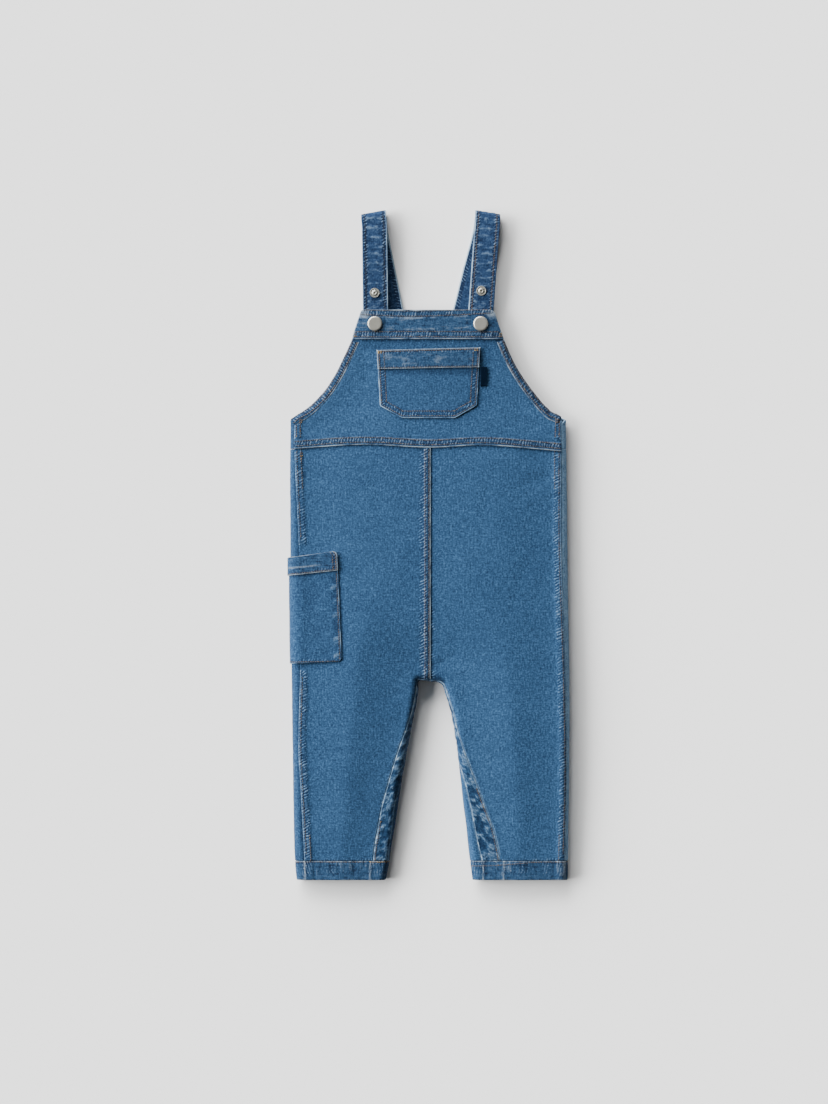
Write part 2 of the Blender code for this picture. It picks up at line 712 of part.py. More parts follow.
def thigh_pocket(material, hem_material):
    """The patch pocket that wraps round the left thigh, and its turned mouth."""

    def place(u, v, lift):
        free_x = mix(*THIGH_EDGE_X, v)
        side_up = mix(THIGH_FOOT[1], THIGH_MOUTH[1], v)
        edge_x = read(SIDE_EDGES, "left", side_up)
        start = girth_of(free_x - edge_x, side_up)
        end = quarter_girth(side_up) * THIGH_TURN / 90
        girth = mix(start, end, u)
        near = min(1.0, max(0.0, girth / start))
        up = mix(side_up, mix(THIGH_FOOT[0], THIGH_MOUTH[0], v), near)
        slack = THIGH_SLACK * math.sin(math.pi * u) * math.sin(math.pi * (0.15 + 0.7 * v))
        return on_rim(read(SIDE_EDGES, "left", up), up, 0, girth, lift + slack)

    cloth("thigh_pocket", material, place, WRAP_STEPS, steps(8), ON_TOP, TRIM)
    foot = 1 - THIGH_HEM / (THIGH_MOUTH[0] - THIGH_FOOT[0])
    mouth = [mix(foot, 1, t) for t in steps(2)]
    cloth("thigh_pocket_hem", hem_material, place, WRAP_STEPS, mouth, ON_POCKET, TRIM)


def strap_path(strap):
    """Middle line and across-way of a strap, row by row, with its fold worked out."""
    rows = [(Vector((row.x, row.up, row.z)), row.tilt) for row in strap.front]
    for k in range(FOLD_STEPS):
        turn = mix(90, -90, k / (FOLD_STEPS - 1))
        up = strap.fold_up + FOLD_RADIUS * math.cos(math.radians(turn))
        z = STRAP_REST + FOLD_RADIUS * (1 + math.sin(math.radians(turn)))
        rows.append((Vector((strap.fold_x, up, z)), strap.fold_tilt))
    rows += [(Vector((row.x, row.up, row.z)), row.tilt) for row in strap.back]
    return rows


def strap(side, shape, material):
    """A doubled strap: out from behind the bib, over its fold and down to the back."""
    rows = strap_path(shape)

    def place(u, k, lift):
        spot, tilt = rows[k]
        way = rows[min(k + 1, len(rows) - 1)][0] - rows[max(k - 1, 0)][0]
        across = Vector((math.cos(math.radians(tilt)), math.sin(math.radians(tilt)), 0))
        normal = across.cross(way).normalized()
        return spot + across * STRAP_WIDTH * (u - 0.5) + normal * lift

    half = STRAP_THICK / 2
    return cloth(f"strap_{side}", material, place, steps(2), list(range(len(rows))), half, STRAP_THICK)


def strap_seat(shape, point):
    """A point on a strap's upper face, and the way that the face looks."""
    rows = shape.front
    rise = read(rows, "z", point.up + STUD_RADIUS) - read(rows, "z", point.up - STUD_RADIUS)
    normal = Vector((0, -rise, 2 * STUD_RADIUS)).normalized()
    middle = Vector((point.x, point.up, read(rows, "z", point.up)))
    return middle + normal * (STRAP_THICK / 2 + SEAM_GAP), normal


def snaps(side, shape, material):
    """The cap on the band, its socket behind the bib and the spare stud up the strap."""
    cap = CAPS[side]
    seat = on_top(cap.x, cap.up, ON_TOP + SEAM_GAP)
    normal = (on_top(cap.x, cap.up, 1) - on_top(cap.x, cap.up)).normalized()
    turned(f"snap_cap_{side}", material, CAP_PROFILE, seat, normal)
    socket_height = SOCKET_PROFILE[0][1]
    under = on_top(cap.x, cap.up, -CLOTH - SEAM_GAP - socket_height)
    turned(f"snap_socket_{side}", material, SOCKET_PROFILE, under, normal)
    seat, normal = strap_seat(shape, STUDS[side])
    turned(f"strap_stud_{side}", material, STUD_PROFILE, seat, normal)


def main():
    """Builds the garment from its back to its trims."""
    for old in list(bpy.data.objects):
        bpy.data.objects.remove(old, do_unlink=True)
    denim = finish("washed_denim", (0.044, 0.138, 0.27), 0.85)
    seam = finish("seam_denim", (0.036, 0.11, 0.22), 0.85)
    gusset_denim = finish("crinkled_denim", (0.035, 0.095, 0.18), 0.85)
    woven = finish("navy_tape", (0.006, 0.009, 0.018), 0.7)
    nickel = finish("brushed_nickel", (0.6, 0.59, 0.54), 0.35, 1.0)

    back_bib(denim)
    for side, leg in (("left", LEFT_LEG), ("right", RIGHT_LEG)):
        back_leg(side, leg, denim)
        gusset(side, leg, gusset_denim)
        front_leg(side, leg, denim)
        leg_hem(side, leg, seam)
    bib_panel(denim)
    waist_seam(seam)
    centre_seam(LEFT_LEG, seam)
    bib_band(seam)
    for side in ("left", "right"):
        armhole_hem(side, seam)
    chest_pocket(denim, seam)
    side_tab(woven)
    thigh_pocket(denim, seam)
    for side, shape in (("left", LEFT_STRAP), ("right", RIGHT_STRAP)):
        strap(side, shape, seam)
        snaps(side, shape, nickel)


main()
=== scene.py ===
"""Looks of the kids' denim dungarees: cloth, sewing, snaps, light and camera.

Every piece of cloth is a thin wall on the same skin as its solid: a flattened tube whose top is
a height over the floor, and whose sides roll round to a flat underside. The pieces add creases,
seam bulk, puckers, stitches and worn edges to it.

Tables and sizes are in millimetres. x runs across from the middle of the garment, up runs from
the leg hems to the fold of the straps, and z is the height over the floor. Left is at -x.
"""

import logging
import math
from collections.abc import Callable, Sequence
from dataclasses import dataclass, field, fields, replace
from enum import Enum

import bmesh
import bpy
import numpy as np
from mathutils import Matrix, Vector
from mathutils.bvhtree import BVHTree


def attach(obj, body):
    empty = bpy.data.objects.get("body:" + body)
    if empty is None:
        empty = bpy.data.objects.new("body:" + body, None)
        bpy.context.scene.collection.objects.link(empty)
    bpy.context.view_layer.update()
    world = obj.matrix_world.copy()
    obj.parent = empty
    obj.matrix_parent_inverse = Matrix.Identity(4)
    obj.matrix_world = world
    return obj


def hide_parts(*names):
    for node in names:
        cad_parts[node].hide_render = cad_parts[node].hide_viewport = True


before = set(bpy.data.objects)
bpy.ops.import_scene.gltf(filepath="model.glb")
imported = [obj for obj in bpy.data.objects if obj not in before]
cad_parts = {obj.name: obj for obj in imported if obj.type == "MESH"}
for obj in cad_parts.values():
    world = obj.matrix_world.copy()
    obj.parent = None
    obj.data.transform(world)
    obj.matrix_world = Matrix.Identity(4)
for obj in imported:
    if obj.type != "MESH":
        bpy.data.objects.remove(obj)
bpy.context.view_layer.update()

Array = np.ndarray
Number = Array | float
Material = bpy.types.Material
Names = tuple[str, ...]
Pair = tuple[float, float]
Colour = tuple[float, float, float]
Distance = float | Callable[[Array], float]
Grade = tuple[float, Sequence[float], Sequence[float], float]

log = logging.getLogger("dungarees")

MM = 0.001
LENGTH = 669.0
CLOTH = 1.2
TRIM = 1.0
SEAM_GAP = 0.3
HALF_GAP = SEAM_GAP / 2
LAYER_GAP = 0.45
ON_TOP = LAYER_GAP + TRIM
ON_POCKET = ON_TOP + LAYER_GAP + TRIM
BACK_WAIST = 430.0
WAIST_JOIN = 4.5
CENTRE_X = 1.5
BAND_FOOT = 539.6
BIB_TOP = 569.0
BIB_START = 461.0
CROTCH = 197.8
HEM_HEIGHT = 19.2
HEM_ROW = HEM_HEIGHT + SEAM_GAP


class Side(Enum):
    """A half of the garment."""

    LEFT = "left"
    RIGHT = "right"

    @property
    def sign(self) -> int:
        """The side of the middle that it lies on."""
        return -1 if self is Side.LEFT else 1

    @property
    def inward(self) -> float:
        """The way to the middle, in degrees."""
        return 0.0 if self is Side.LEFT else 180.0


def curve(keys: Array, values: Array, at: Number) -> Array:
    """Reads a smooth curve through rows of values.

    Args:
        keys: Rising positions of the rows.
        values: One value, or one array of values, for each row.
        at: Positions to read.

    Returns:
        The values there, in the shape of at and then that of one row.
    """
    keys, values = np.asarray(keys, dtype=float), np.asarray(values, dtype=float)
    at = np.clip(np.asarray(at, dtype=float), keys[0], keys[-1])
    i = np.clip(np.searchsorted(keys, at, side="right") - 1, 0, len(keys) - 2)
    rows = np.arange(len(keys))
    before, after = np.maximum(rows - 1, 0), np.minimum(rows + 1, len(keys) - 1)
    tail = (...,) + (None,) * (values.ndim - 1)
    slopes = (values[after] - values[before]) / (keys[after] - keys[before])[tail]
    span = keys[i + 1] - keys[i]
    t = ((at - keys[i]) / span)[tail]
    ease = t * t * (3 - 2 * t)
    bend = span[tail] * (slopes[i] * t * (1 - t) ** 2 - slopes[i + 1] * t * t * (1 - t))
    return values[i] + (values[i + 1] - values[i]) * ease + bend


class Table:
    """Rows of sizes, read on a smooth curve against their first column."""

    def __init__(self, names: str, *rows: tuple[float, ...]) -> None:
        """Keeps the rows under their columns' names."""
        self.names = names.split()
        self.rows = np.array(rows, dtype=float)

    def column(self, name: str) -> Array:
        """All values of a column."""
        return self.rows[:, self.names.index(name)]

    def read(self, name: str, at: Number) -> Array:
        """Values of a column at positions along the first one."""
        return curve(self.rows[:, 0], self.column(name), at)


SIDE_EDGES = Table(
    "up left right",
    (0, -132.2, 138.5), (14, -133.5, 138.6), (34, -134.6, 139.0), (114, -136.0, 140.0),
    (194, -137.1, 140.3), (274, -138.0, 139.0), (404, -138.9, 137.4), (459, -138.3, 136.6),
)
SIDE_SEAMS = Table(
    "up left right",
    (0, -123.6, 135.0), (25, -124.7, 135.6), (88, -128.0, 136.9), (132, -130.2, 137.0),
    (215, -128.7, 135.6), (327, -129.9, 132.2), (430, -134.4, 131.9), (461.5, -134.0, 131.9),
)
WAIST_LINE = Table("x height", (-135, 430.0), (-65, 434.0), (1, 431.2), (56, 433.4), (132, 427.6))
BIB_EDGES = Table(
    "up left right",
    (445.0, -134.4, 131.9), (456.0, -134.3, 131.9), (461.5, -133.9, 131.8), (464.0, -130.6, 127.6),
    (466.5, -126.3, 122.0), (470.5, -121.0, 117.8), (475.0, -115.8, 113.6), (481.0, -110.0, 108.6),
    (487.0, -104.8, 103.9), (495.0, -99.0, 98.0), (503.5, -93.9, 92.2), (513.0, -88.9, 86.6),
    (523.0, -84.2, 81.5), (532.0, -80.0, 77.6), (BAND_FOOT, -76.7, 74.5), (546.0, -75.2, 72.4),
    (557.5, -71.5, 68.5), (BIB_TOP, -67.5, 64.7),
)
SECTIONS = Table(
    "up edge shoulder crown bulge roll",
    (0, 6.0, 12.5, 3.0, 8.0, 0.5), (60, 6.5, 14.5, 4.0, 8.0, 0.5), (130, 7.0, 16.0, 4.5, 8.5, 0.5),
    (210, 6.5, 15.5, 5.0, 8.5, 0.5), (300, 6.0, 14.0, 5.5, 8.5, 0.5), (400, 6.0, 13.0, 4.5, 8.0, 0.5),
    (459, 6.0, 12.0, 3.5, 8.0, 0.5), (475, 7.5, 11.5, 3.0, 10.0, 1.0), (525, 9.0, 11.5, 2.0, 12.0, 1.0),
    (BIB_TOP, 10.5, 11.5, 0.6, 12.0, 1.0),
)
LEGS = {
    Side.LEFT: Table(
        "outer x up inward front_seam rear_seam",
        (HEM_ROW, -39.4, HEM_ROW, 180, 16.7, 1.0), (34, -37.5, 34, 180, 17.0, 1.5),
        (54, -34.0, 54, 180, 17.0, 2.2), (74, -31.0, 74, 180, 16.3, 3.0),
        (94, -28.0, 94, 180, 13.8, 0.5), (114, -24.4, 114, 180, 11.5, -2.5),
        (134, -21.0, 134, 180, 8.5, -5.0), (154, -17.0, 154, 180, 5.0, -6.0),
        (172, -13.4, 172, 180, 3.0, -6.0), (187, -11.0, 188, 180, 2.2, -6.0),
        (197, -9.6, 198.1, 135, 2.0, -6.0), (212, CENTRE_X - HALF_GAP, CROTCH, 90, 2.0, -6.0),
    ),
    Side.RIGHT: Table(
        "outer x up inward front_seam rear_seam",
        (HEM_ROW, 40.8, HEM_ROW, 0, 30.4, 11.8), (34, 39.0, 34, 0, 29.5, 10.0),
        (54, 37.0, 54, 0, 26.5, 8.0), (74, 34.4, 74, 0, 21.5, 6.5), (94, 32.2, 94, 0, 16.5, 4.0),
        (114, 30.0, 114, 0, 11.0, 0.5), (134, 27.6, 134, 0, 6.0, -3.0), (154, 24.4, 154, 0, 3.2, -5.0),
        (172, 20.6, 172, 0, 2.5, -6.0), (184, 17.0, 184, 0, 2.2, -6.0),
        (194, 12.8, 195.3, 45, 2.0, -6.0), (212, CENTRE_X + HALF_GAP, CROTCH, 90, 2.0, -6.0),
    ),
}
HEM_INSIDE = {Side.LEFT: -43.0, Side.RIGHT: 43.3}
INNER_SEAMS = {Side.LEFT: (-59.0,), Side.RIGHT: (54.0, 74.5)}
TORSO_ROWS = (220, 236, 256, 280, 305, 330, 360, 390, 415)
BACK_SIDES = (BACK_WAIST + HALF_GAP, 445.0, 455.0)
BACK_ARMHOLES = Table(
    "up left right",
    (459, 1.5, 1.5), (462, -5.0, -5.5), (466, -14, -17), (471, -24, -27), (478, -37, -40),
    (486, -50, -53), (494, -64, -67), (500, -78, -80), (505, -96, -97),
)

# Soft creases over the laid cloth: both ends, width and height (below zero is a trough)
CREASES = Table(
    "x up end_x end_up width height",
    (-6, 214, -34, 232, 3.2, -0.55), (-8, 206, -42, 214, 3.6, 0.45), (-9, 222, -25, 246, 3.0, 0.40),
    (8, 213, 30, 228, 3.0, -0.50), (9, 205, 44, 212, 3.8, 0.45), (7, 224, 22, 252, 2.8, 0.35),
    (-30, 186, -62, 176, 5.0, -0.32), (-33, 168, -74, 150, 6.0, 0.25), (34, 184, 70, 172, 5.0, -0.32),
    (38, 164, 82, 150, 6.5, 0.25), (-96, 128, -70, 118, 6.0, -0.34), (-108, 112, -74, 108, 5.0, 0.22),
    (-62, 96, -84, 88, 5.5, -0.26), (66, 122, 98, 130, 6.0, -0.34), (60, 104, 92, 108, 5.0, 0.22),
    (82, 84, 110, 92, 6.0, -0.26), (-118, 66, -96, 60, 5.0, -0.35), (104, 58, 126, 66, 5.0, -0.35),
    (-118, 404, -84, 396, 5.0, -0.50), (-120, 390, -96, 378, 4.5, 0.35), (116, 402, 88, 392, 5.0, -0.50),
    (118, 386, 94, 374, 4.5, 0.35), (-52, 392, -48, 348, 6.5, -0.40), (58, 388, 52, 340, 7.0, -0.40),
    (-28, 330, -34, 290, 6.0, 0.35), (34, 322, 42, 276, 6.5, 0.35), (-70, 300, -54, 268, 7.0, -0.40),
    (94, 306, 82, 268, 7.0, -0.35), (-108, 456, -84, 462, 4.5, -0.40), (104, 454, 82, 461, 4.5, -0.40),
    (-62, 500, -66, 530, 4.0, -0.35), (60, 498, 64, 526, 4.0, -0.35),
)


def smooth(t: Number) -> Array:
    """An even rise from 0 to 1 as t goes from 0 to 1."""
    t = np.clip(t, 0.0, 1.0)
    return t * t * (3 - 2 * t)


def line(distance: Number, width: float) -> Array:
    """A soft line of height 1 where distance is 0."""
    return np.exp(-((np.asarray(distance) / width) ** 2))


def within(value: Number, low: float, high: float, soft: float) -> Array:
    """1 between low and high, falling to 0 over a soft distance outside them."""
    return smooth((value - low) / soft + 1) * smooth((high - value) / soft + 1)


def over(value: Number, start: float = 0.0) -> Array:
    """How far a value is over a start, up to 1."""
    return np.clip(value - start, 0, 1)


def lines(distance: Array, places: Sequence[float], width: float) -> Array:
    """Soft lines of height 1 at several distances."""
    return sum((line(distance - place, width) for place in places), np.zeros(np.shape(distance)))


def unit(vectors: Array) -> Array:
    """Vectors at a length of 1."""
    return vectors / np.maximum(np.linalg.norm(vectors, axis=-1, keepdims=True), 1e-9)


def mix(a: Number, b: Number, t: Number) -> Number:
    """The value a fraction t of the way from a to b."""
    return a + (b - a) * t


class Grain:
    """Smooth random unevenness between -1 and 1, always the same for one seed."""

    SIZE = 256

    def __init__(self, seed: int) -> None:
        """Draws the lattice that the unevenness is read from."""
        self.lattice = np.random.default_rng(seed).uniform(-1, 1, (self.SIZE, self.SIZE))

    def at(self, x: Number, y: Number) -> Array:
        """The unevenness at points whose steps are one lattice cell apart.

        Args:
            x: Where the points are, across.
            y: Where the points are, along.

        Returns:
            Values between -1 and 1.
        """
        x, y = np.broadcast_arrays(np.asarray(x, dtype=float), np.asarray(y, dtype=float))
        i, j = np.floor(x).astype(int), np.floor(y).astype(int)
        s, t = smooth(x - i), smooth(y - j)
        i, j = i % self.SIZE, j % self.SIZE
        far_i, far_j = (i + 1) % self.SIZE, (j + 1) % self.SIZE
        low = mix(self.lattice[i, j], self.lattice[far_i, j], s)
        high = mix(self.lattice[i, far_j], self.lattice[far_i, far_j], s)
        return mix(low, high, t)

    def rough(self, x: Number, y: Number) -> Array:
        """The unevenness with a finer one on it."""
        return 0.68 * self.at(x, y) + 0.32 * self.at(2.3 * np.asarray(x) + 31.7, 2.3 * np.asarray(y) + 17.3)


def beside(start: Array, end: Array, x: Array, up: Array) -> tuple[Array, Array]:
    """Compares points with a straight stretch in plan.

    Args:
        start: One end of the stretch.
        end: The other end.
        x: The points' places across.
        up: The points' places along.

    Returns:
        The nearest fraction of the stretch, and the distance from it.
    """
    run = end - start
    t = np.clip(((x - start[0]) * run[0] + (up - start[1]) * run[1]) / (run @ run), 0, 1)
    return t, np.hypot(x - start[0] - run[0] * t, up - start[1] - run[1] * t)


def plan_distance(chain: Array, x: Array, up: Array) -> Array:
    """Measures how far points are from a chain in plan.

    Args:
        chain: The chain's corners.
        x: The points' places across.
        up: The points' places along.

    Returns:
        The shortest distances.
    """
    near = np.full(np.shape(x), np.inf)
    for start, end in zip(chain, chain[1:]):
        near = np.minimum(near, beside(start, end, x, up)[1])
    return near


def run_lengths(points: Array) -> Array:
    """Distances of points along the chain that they make."""
    return np.append(0, np.cumsum(np.linalg.norm(np.diff(points, axis=0), axis=1)))


def read_along(lengths: Array, points: Array, at: float) -> Array:
    """The point at a distance along a chain."""
    return np.array([np.interp(at, lengths, values) for values in points.T])


def outline_chains() -> list[Array]:
    """The plan outlines that the skin rolls away from: both sides, and the inside legs.

    Returns:
        The chains' corners: how far across, and how far along.
    """
    chains = []
    bib = BIB_EDGES.rows[BIB_EDGES.column("up") > BIB_START]
    for column in (1, 2):
        rows = np.vstack([SIDE_EDGES.rows, bib])
        chains.append(rows[:, (column, 0)])
    left, right = (LEGS[side].rows[:, 1:3] for side in Side)
    inside = [(HEM_INSIDE[Side.LEFT], 0.0), *left, *right[::-1], (HEM_INSIDE[Side.RIGHT], 0.0)]
    chains.append(np.array(inside))
    return chains


@dataclass(frozen=True)
class Skin:
    """The flattened tube that every piece lies on."""

    blend: float = 3.0
    crown_reach: float = 45.0
    crease_start: float = 12.0
    chains: list[Array] = field(default_factory=outline_chains)

    def inset(self, x: Array, up: Array) -> Array:
        """How far points lie inside the outline, with the ridges between sides rounded."""
        total = sum(np.exp(-plan_distance(chain, x, up) / self.blend) for chain in self.chains)
        return np.maximum(0.0, -self.blend * np.log(np.maximum(total, 1e-30)))

    def creases(self, x: Array, up: Array) -> Array:
        """Height that the soft creases add, or take off.

        Args:
            x: Where the points are, across.
            up: Where the points are, along.

        Returns:
            The height.
        """
        height = np.zeros(np.shape(x))
        for row in CREASES.rows:
            t, away = beside(row[:2], row[2:4], x, up)
            height += row[5] * line(away, row[4] * (1.25 - 0.7 * t)) * (1 - 0.75 * t)
        return height

    def top(self, x: Array, up: Array) -> Array:
        """Height of the upper side over points in plan.

        Args:
            x: Where the points are, across.
            up: Where the points are, along.

        Returns:
            The height over the floor.
        """
        edge, shoulder, crown, bulge, roll = (SECTIONS.read(name, up) for name in SECTIONS.names[1:])
        inset = self.inset(x, up)
        t = np.minimum(1.0, inset / bulge)
        rolled = (1 - (1 - t) ** 2) ** roll
        fullness = 1 - line(np.maximum(0.0, inset - bulge), self.crown_reach)
        creases = self.creases(x, up) * smooth((inset - bulge) / self.crease_start)
        return edge + (shoulder - edge) * rolled + crown * fullness + creases

    def on_top(self, x: Number, up: Number) -> Array:
        """Points on the upper side."""
        x, up = np.broadcast_arrays(np.asarray(x, dtype=float), np.asarray(up, dtype=float))
        return np.stack([x, up, self.top(x, up)], axis=-1)

    def quarter(self, up: Number) -> Array:
        """Length of cloth from the widest line to a shoulder, or to the floor."""
        return math.pi / 4 * (SECTIONS.read("bulge", up) + SECTIONS.read("shoulder", up) / 2)

    def girth(self, inset: Number, up: Number) -> Array:
        """Cloth length from the widest line to a signed inset.

        Args:
            inset: How far inside the widest line, or below zero underneath.
            up: Where along.

        Returns:
            The length, below zero underneath.
        """
        bulge, quarter = SECTIONS.read("bulge", up), self.quarter(up)
        size = np.abs(inset)
        turned = quarter * np.arccos(np.clip(1 - size / bulge, -1, 1)) / (math.pi / 2)
        return np.sign(inset) * np.where(size > bulge, quarter + size - bulge, turned)

    def rim(self, x: Number, up: Number, inward: Number, girth: Number) -> Array:
        """Points at a girth over (+) or under (-) the widest line.

        Args:
            x: Where the widest line is, across.
            up: Where the widest line is, along.
            inward: The way in from it, in degrees.
            girth: Cloth length from it.

        Returns:
            The points, with a last axis of three.
        """
        given = (np.asarray(value, dtype=float) for value in (x, up, inward, girth))
        x, up, inward, girth = np.broadcast_arrays(*given)
        bulge, edge, shoulder = (SECTIONS.read(name, up) for name in ("bulge", "edge", "shoulder"))
        quarter = self.quarter(up)
        turn = np.clip(girth / quarter, -1, 1) * math.pi / 2
        flat = np.maximum(0.0, np.abs(girth) - quarter)
        reach = bulge * (1 - np.cos(turn)) + flat
        way = np.radians(inward)
        spot_x, spot_up = x + np.cos(way) * reach, up + np.sin(way) * reach
        z = edge + np.where(turn > 0, shoulder - edge, edge) * np.sin(turn)
        z = np.where(girth > quarter, self.top(spot_x, spot_up), np.where(girth < -quarter, 0.0, z))
        return np.stack([spot_x, spot_up, z], axis=-1)

    def side_seam(self, side: Side, up: Number) -> tuple[Array, Array]:
        """The side's widest x, and the cloth length from there over to the side seam."""
        edge_x = SIDE_EDGES.read(side.value, up)
        return edge_x, self.girth(np.abs(SIDE_SEAMS.read(side.value, up) - edge_x), up)


SKIN = Skin()


def waist_height(x: Number) -> Array:
    """Height of the waist seam's lower edge."""
    return WAIST_LINE.read("height", x)


def graded(length: float, start: Sequence[float], end: Sequence[float], middle: float) -> Array:
    """Fractions of a length that stand close together at its ends.

    Args:
        length: The whole length.
        start: Distances from the start, from 0 up.
        end: Distances from the end, from 0 up.
        middle: Distance between the steps in the middle.

    Returns:
        Fractions from 0 to 1.
    """
    first, last = start[-1], length - end[-1]
    count = max(1, round((last - first) / middle))
    inner = np.linspace(first, last, count + 1)[1:-1]
    return np.concatenate([start, inner, length - np.array(end)[::-1]]) / length


EDGE = (0.0, 0.3, 0.75, 1.4, 2.3)
FINE = (0.0, 0.3, 0.75)
NARROW = (0.0, 0.3, 0.7, 1.2)


class Value:
    """A shader socket that takes part in sums."""

    def __init__(self, graph: "Graph", socket: bpy.types.NodeSocket) -> None:
        """Wraps a socket of a graph."""
        self.graph, self.socket = graph, socket

    def sum_of(self, operation: str, *terms: "Value | float", clamp: bool = False) -> "Value":
        """The outcome of a Math node on the terms."""
        settings = {"operation": operation, "use_clamp": clamp}
        return self.graph.node("ShaderNodeMath", settings, dict(enumerate(terms)))

    def __add__(self, other: "Value | float") -> "Value":
        """self + other."""
        return self.sum_of("ADD", self, other)

    def __radd__(self, other: float) -> "Value":
        """other + self."""
        return self.sum_of("ADD", other, self)

    def __sub__(self, other: "Value | float") -> "Value":
        """self - other."""
        return self.sum_of("SUBTRACT", self, other)

    def __rsub__(self, other: float) -> "Value":
        """other - self."""
        return self.sum_of("SUBTRACT", other, self)

    def __mul__(self, other: "Value | float") -> "Value":
        """self * other."""
        return self.sum_of("MULTIPLY", self, other)

    def __rmul__(self, other: float) -> "Value":
        """other * self."""
        return self.sum_of("MULTIPLY", other, self)

    def clamped(self) -> "Value":
        """The value kept between 0 and 1."""
        return self.sum_of("ADD", self, 0.0, clamp=True)

    def larger(self, other: "Value | float") -> "Value":
        """The larger of both."""
        return self.sum_of("MAXIMUM", self, other)


class Graph:
    """The node graph of one material."""

    def __init__(self, name: str) -> None:
        """Starts a material with its surface shader.

        Args:
            name: The material's name.
        """
        self.material = bpy.data.materials.new(name)
        self.material.use_nodes = True
        self.nodes = self.material.node_tree.nodes
        self.shader = self.nodes["Principled BSDF"]

    def node(self, kind: str, settings: dict, inputs: dict, output: int | str = 0) -> Value:
        """Adds a node.

        Args:
            kind: The node's type.
            settings: Its settings; "stops" holds a ramp's positions and colours.
            inputs: Values or links of its sockets, by name or number.
            output: The socket that is wanted.

        Returns:
            That socket.
        """
        node = self.nodes.new(kind)
        for key, value in settings.items():
            if key == "stops":
                ramp = node.color_ramp
                while len(ramp.elements) < len(value):
                    ramp.elements.new(0.5)
                for element, (position, colour) in zip(ramp.elements, value):
                    element.position, element.color = position, (*colour, 1)
            else:
                setattr(node, key, value)
        for key, value in inputs.items():
            self.feed(node.inputs[key], value)
        return Value(self, node.outputs[output])

    def feed(self, socket: bpy.types.NodeSocket, value: "Value | float | Sequence[float]") -> None:
        """Links or sets a socket.

        Args:
            socket: The socket.
            value: The link, number or colour that it takes.
        """
        if isinstance(value, Value):
            self.material.node_tree.links.new(value.socket, socket)
        elif isinstance(value, (tuple, list)) and socket.type == "RGBA" and len(value) == 3:
            socket.default_value = (*value, 1)
        else:
            socket.default_value = value

    def set(self, **inputs: "Value | float | Sequence[float]") -> None:
        """Sets the shader's sockets, named with _ for each space."""
        for key, value in inputs.items():
            self.feed(self.shader.inputs[key.replace("_", " ")], value)

    def attribute(self, name: str) -> Value:
        """A number that a piece keeps for each of its points."""
        return self.node("ShaderNodeAttribute", {"attribute_name": name}, {}, "Fac")

    def cloth_place(self) -> Value:
        """Where a point lies on its piece of cloth."""
        return self.node("ShaderNodeUVMap", {"uv_map": "cloth"}, {})

    def object_place(self) -> Value:
        """Where a point lies in the object."""
        return self.node("ShaderNodeTexCoord", {}, {}, "Object")

    def mapped(self, place: Value, scale: Colour, turn: float = 0.0) -> Value:
        """A place, turned in plan and scaled."""
        return self.node("ShaderNodeMapping", {}, {"Vector": place, "Scale": scale, "Rotation": (0, 0, turn)})

    def noise(self, place: Value, size: float, detail: float = 2.0, roughness: float = 0.5) -> Value:
        """Soft noise between about -0.5 and 0.5, with spots of a size in millimetres."""
        inputs = {"Vector": place, "Scale": 1 / (size * MM), "Detail": detail, "Roughness": roughness}
        return self.node("ShaderNodeTexNoise", {}, inputs, "Fac") - 0.5

    def bands(self, place: Value, way: str, pitch: float, turn: float = 0.0, uneven: float = 0.0) -> Value:
        """Waves between -0.5 and 0.5 that follow each other along X or Y, at a pitch in millimetres.

        Args:
            place: Where the waves are read.
            way: X or Y.
            pitch: Millimetres from wave to wave.
            turn: Turn in plan, in degrees.
            uneven: How far the waves wander.

        Returns:
            The waves' height.
        """
        settings = {"wave_type": "BANDS", "bands_direction": way, "wave_profile": "SIN"}
        inputs = {"Vector": self.mapped(place, (1, 1, 1), math.radians(turn)), "Distortion": uneven,
                  "Scale": math.tau / (20 * pitch * MM), "Detail": 2.0, "Detail Scale": 1.6}
        return self.node("ShaderNodeTexWave", settings, inputs, "Fac") - 0.5

    def blend(self, factor: "Value | float", a: "Value | Colour", b: "Value | Colour") -> Value:
        """A colour between a and b."""
        return self.node("ShaderNodeMix", {"data_type": "RGBA"}, {0: factor, 6: a, 7: b}, 2)

    def ramp(self, factor: Value, stops: Sequence[tuple[float, Colour]]) -> Value:
        """A colour read from stops."""
        return self.node("ShaderNodeValToRGB", {"stops": stops}, {"Fac": factor})

    def bump(self, height: Value, depth: float, strength: float = 1.0) -> None:
        """Lets a height, in parts of a depth in millimetres, bend the surface."""
        inputs = {"Height": height, "Distance": depth * MM, "Strength": strength}
        self.set(Normal=self.node("ShaderNodeBump", {}, inputs))


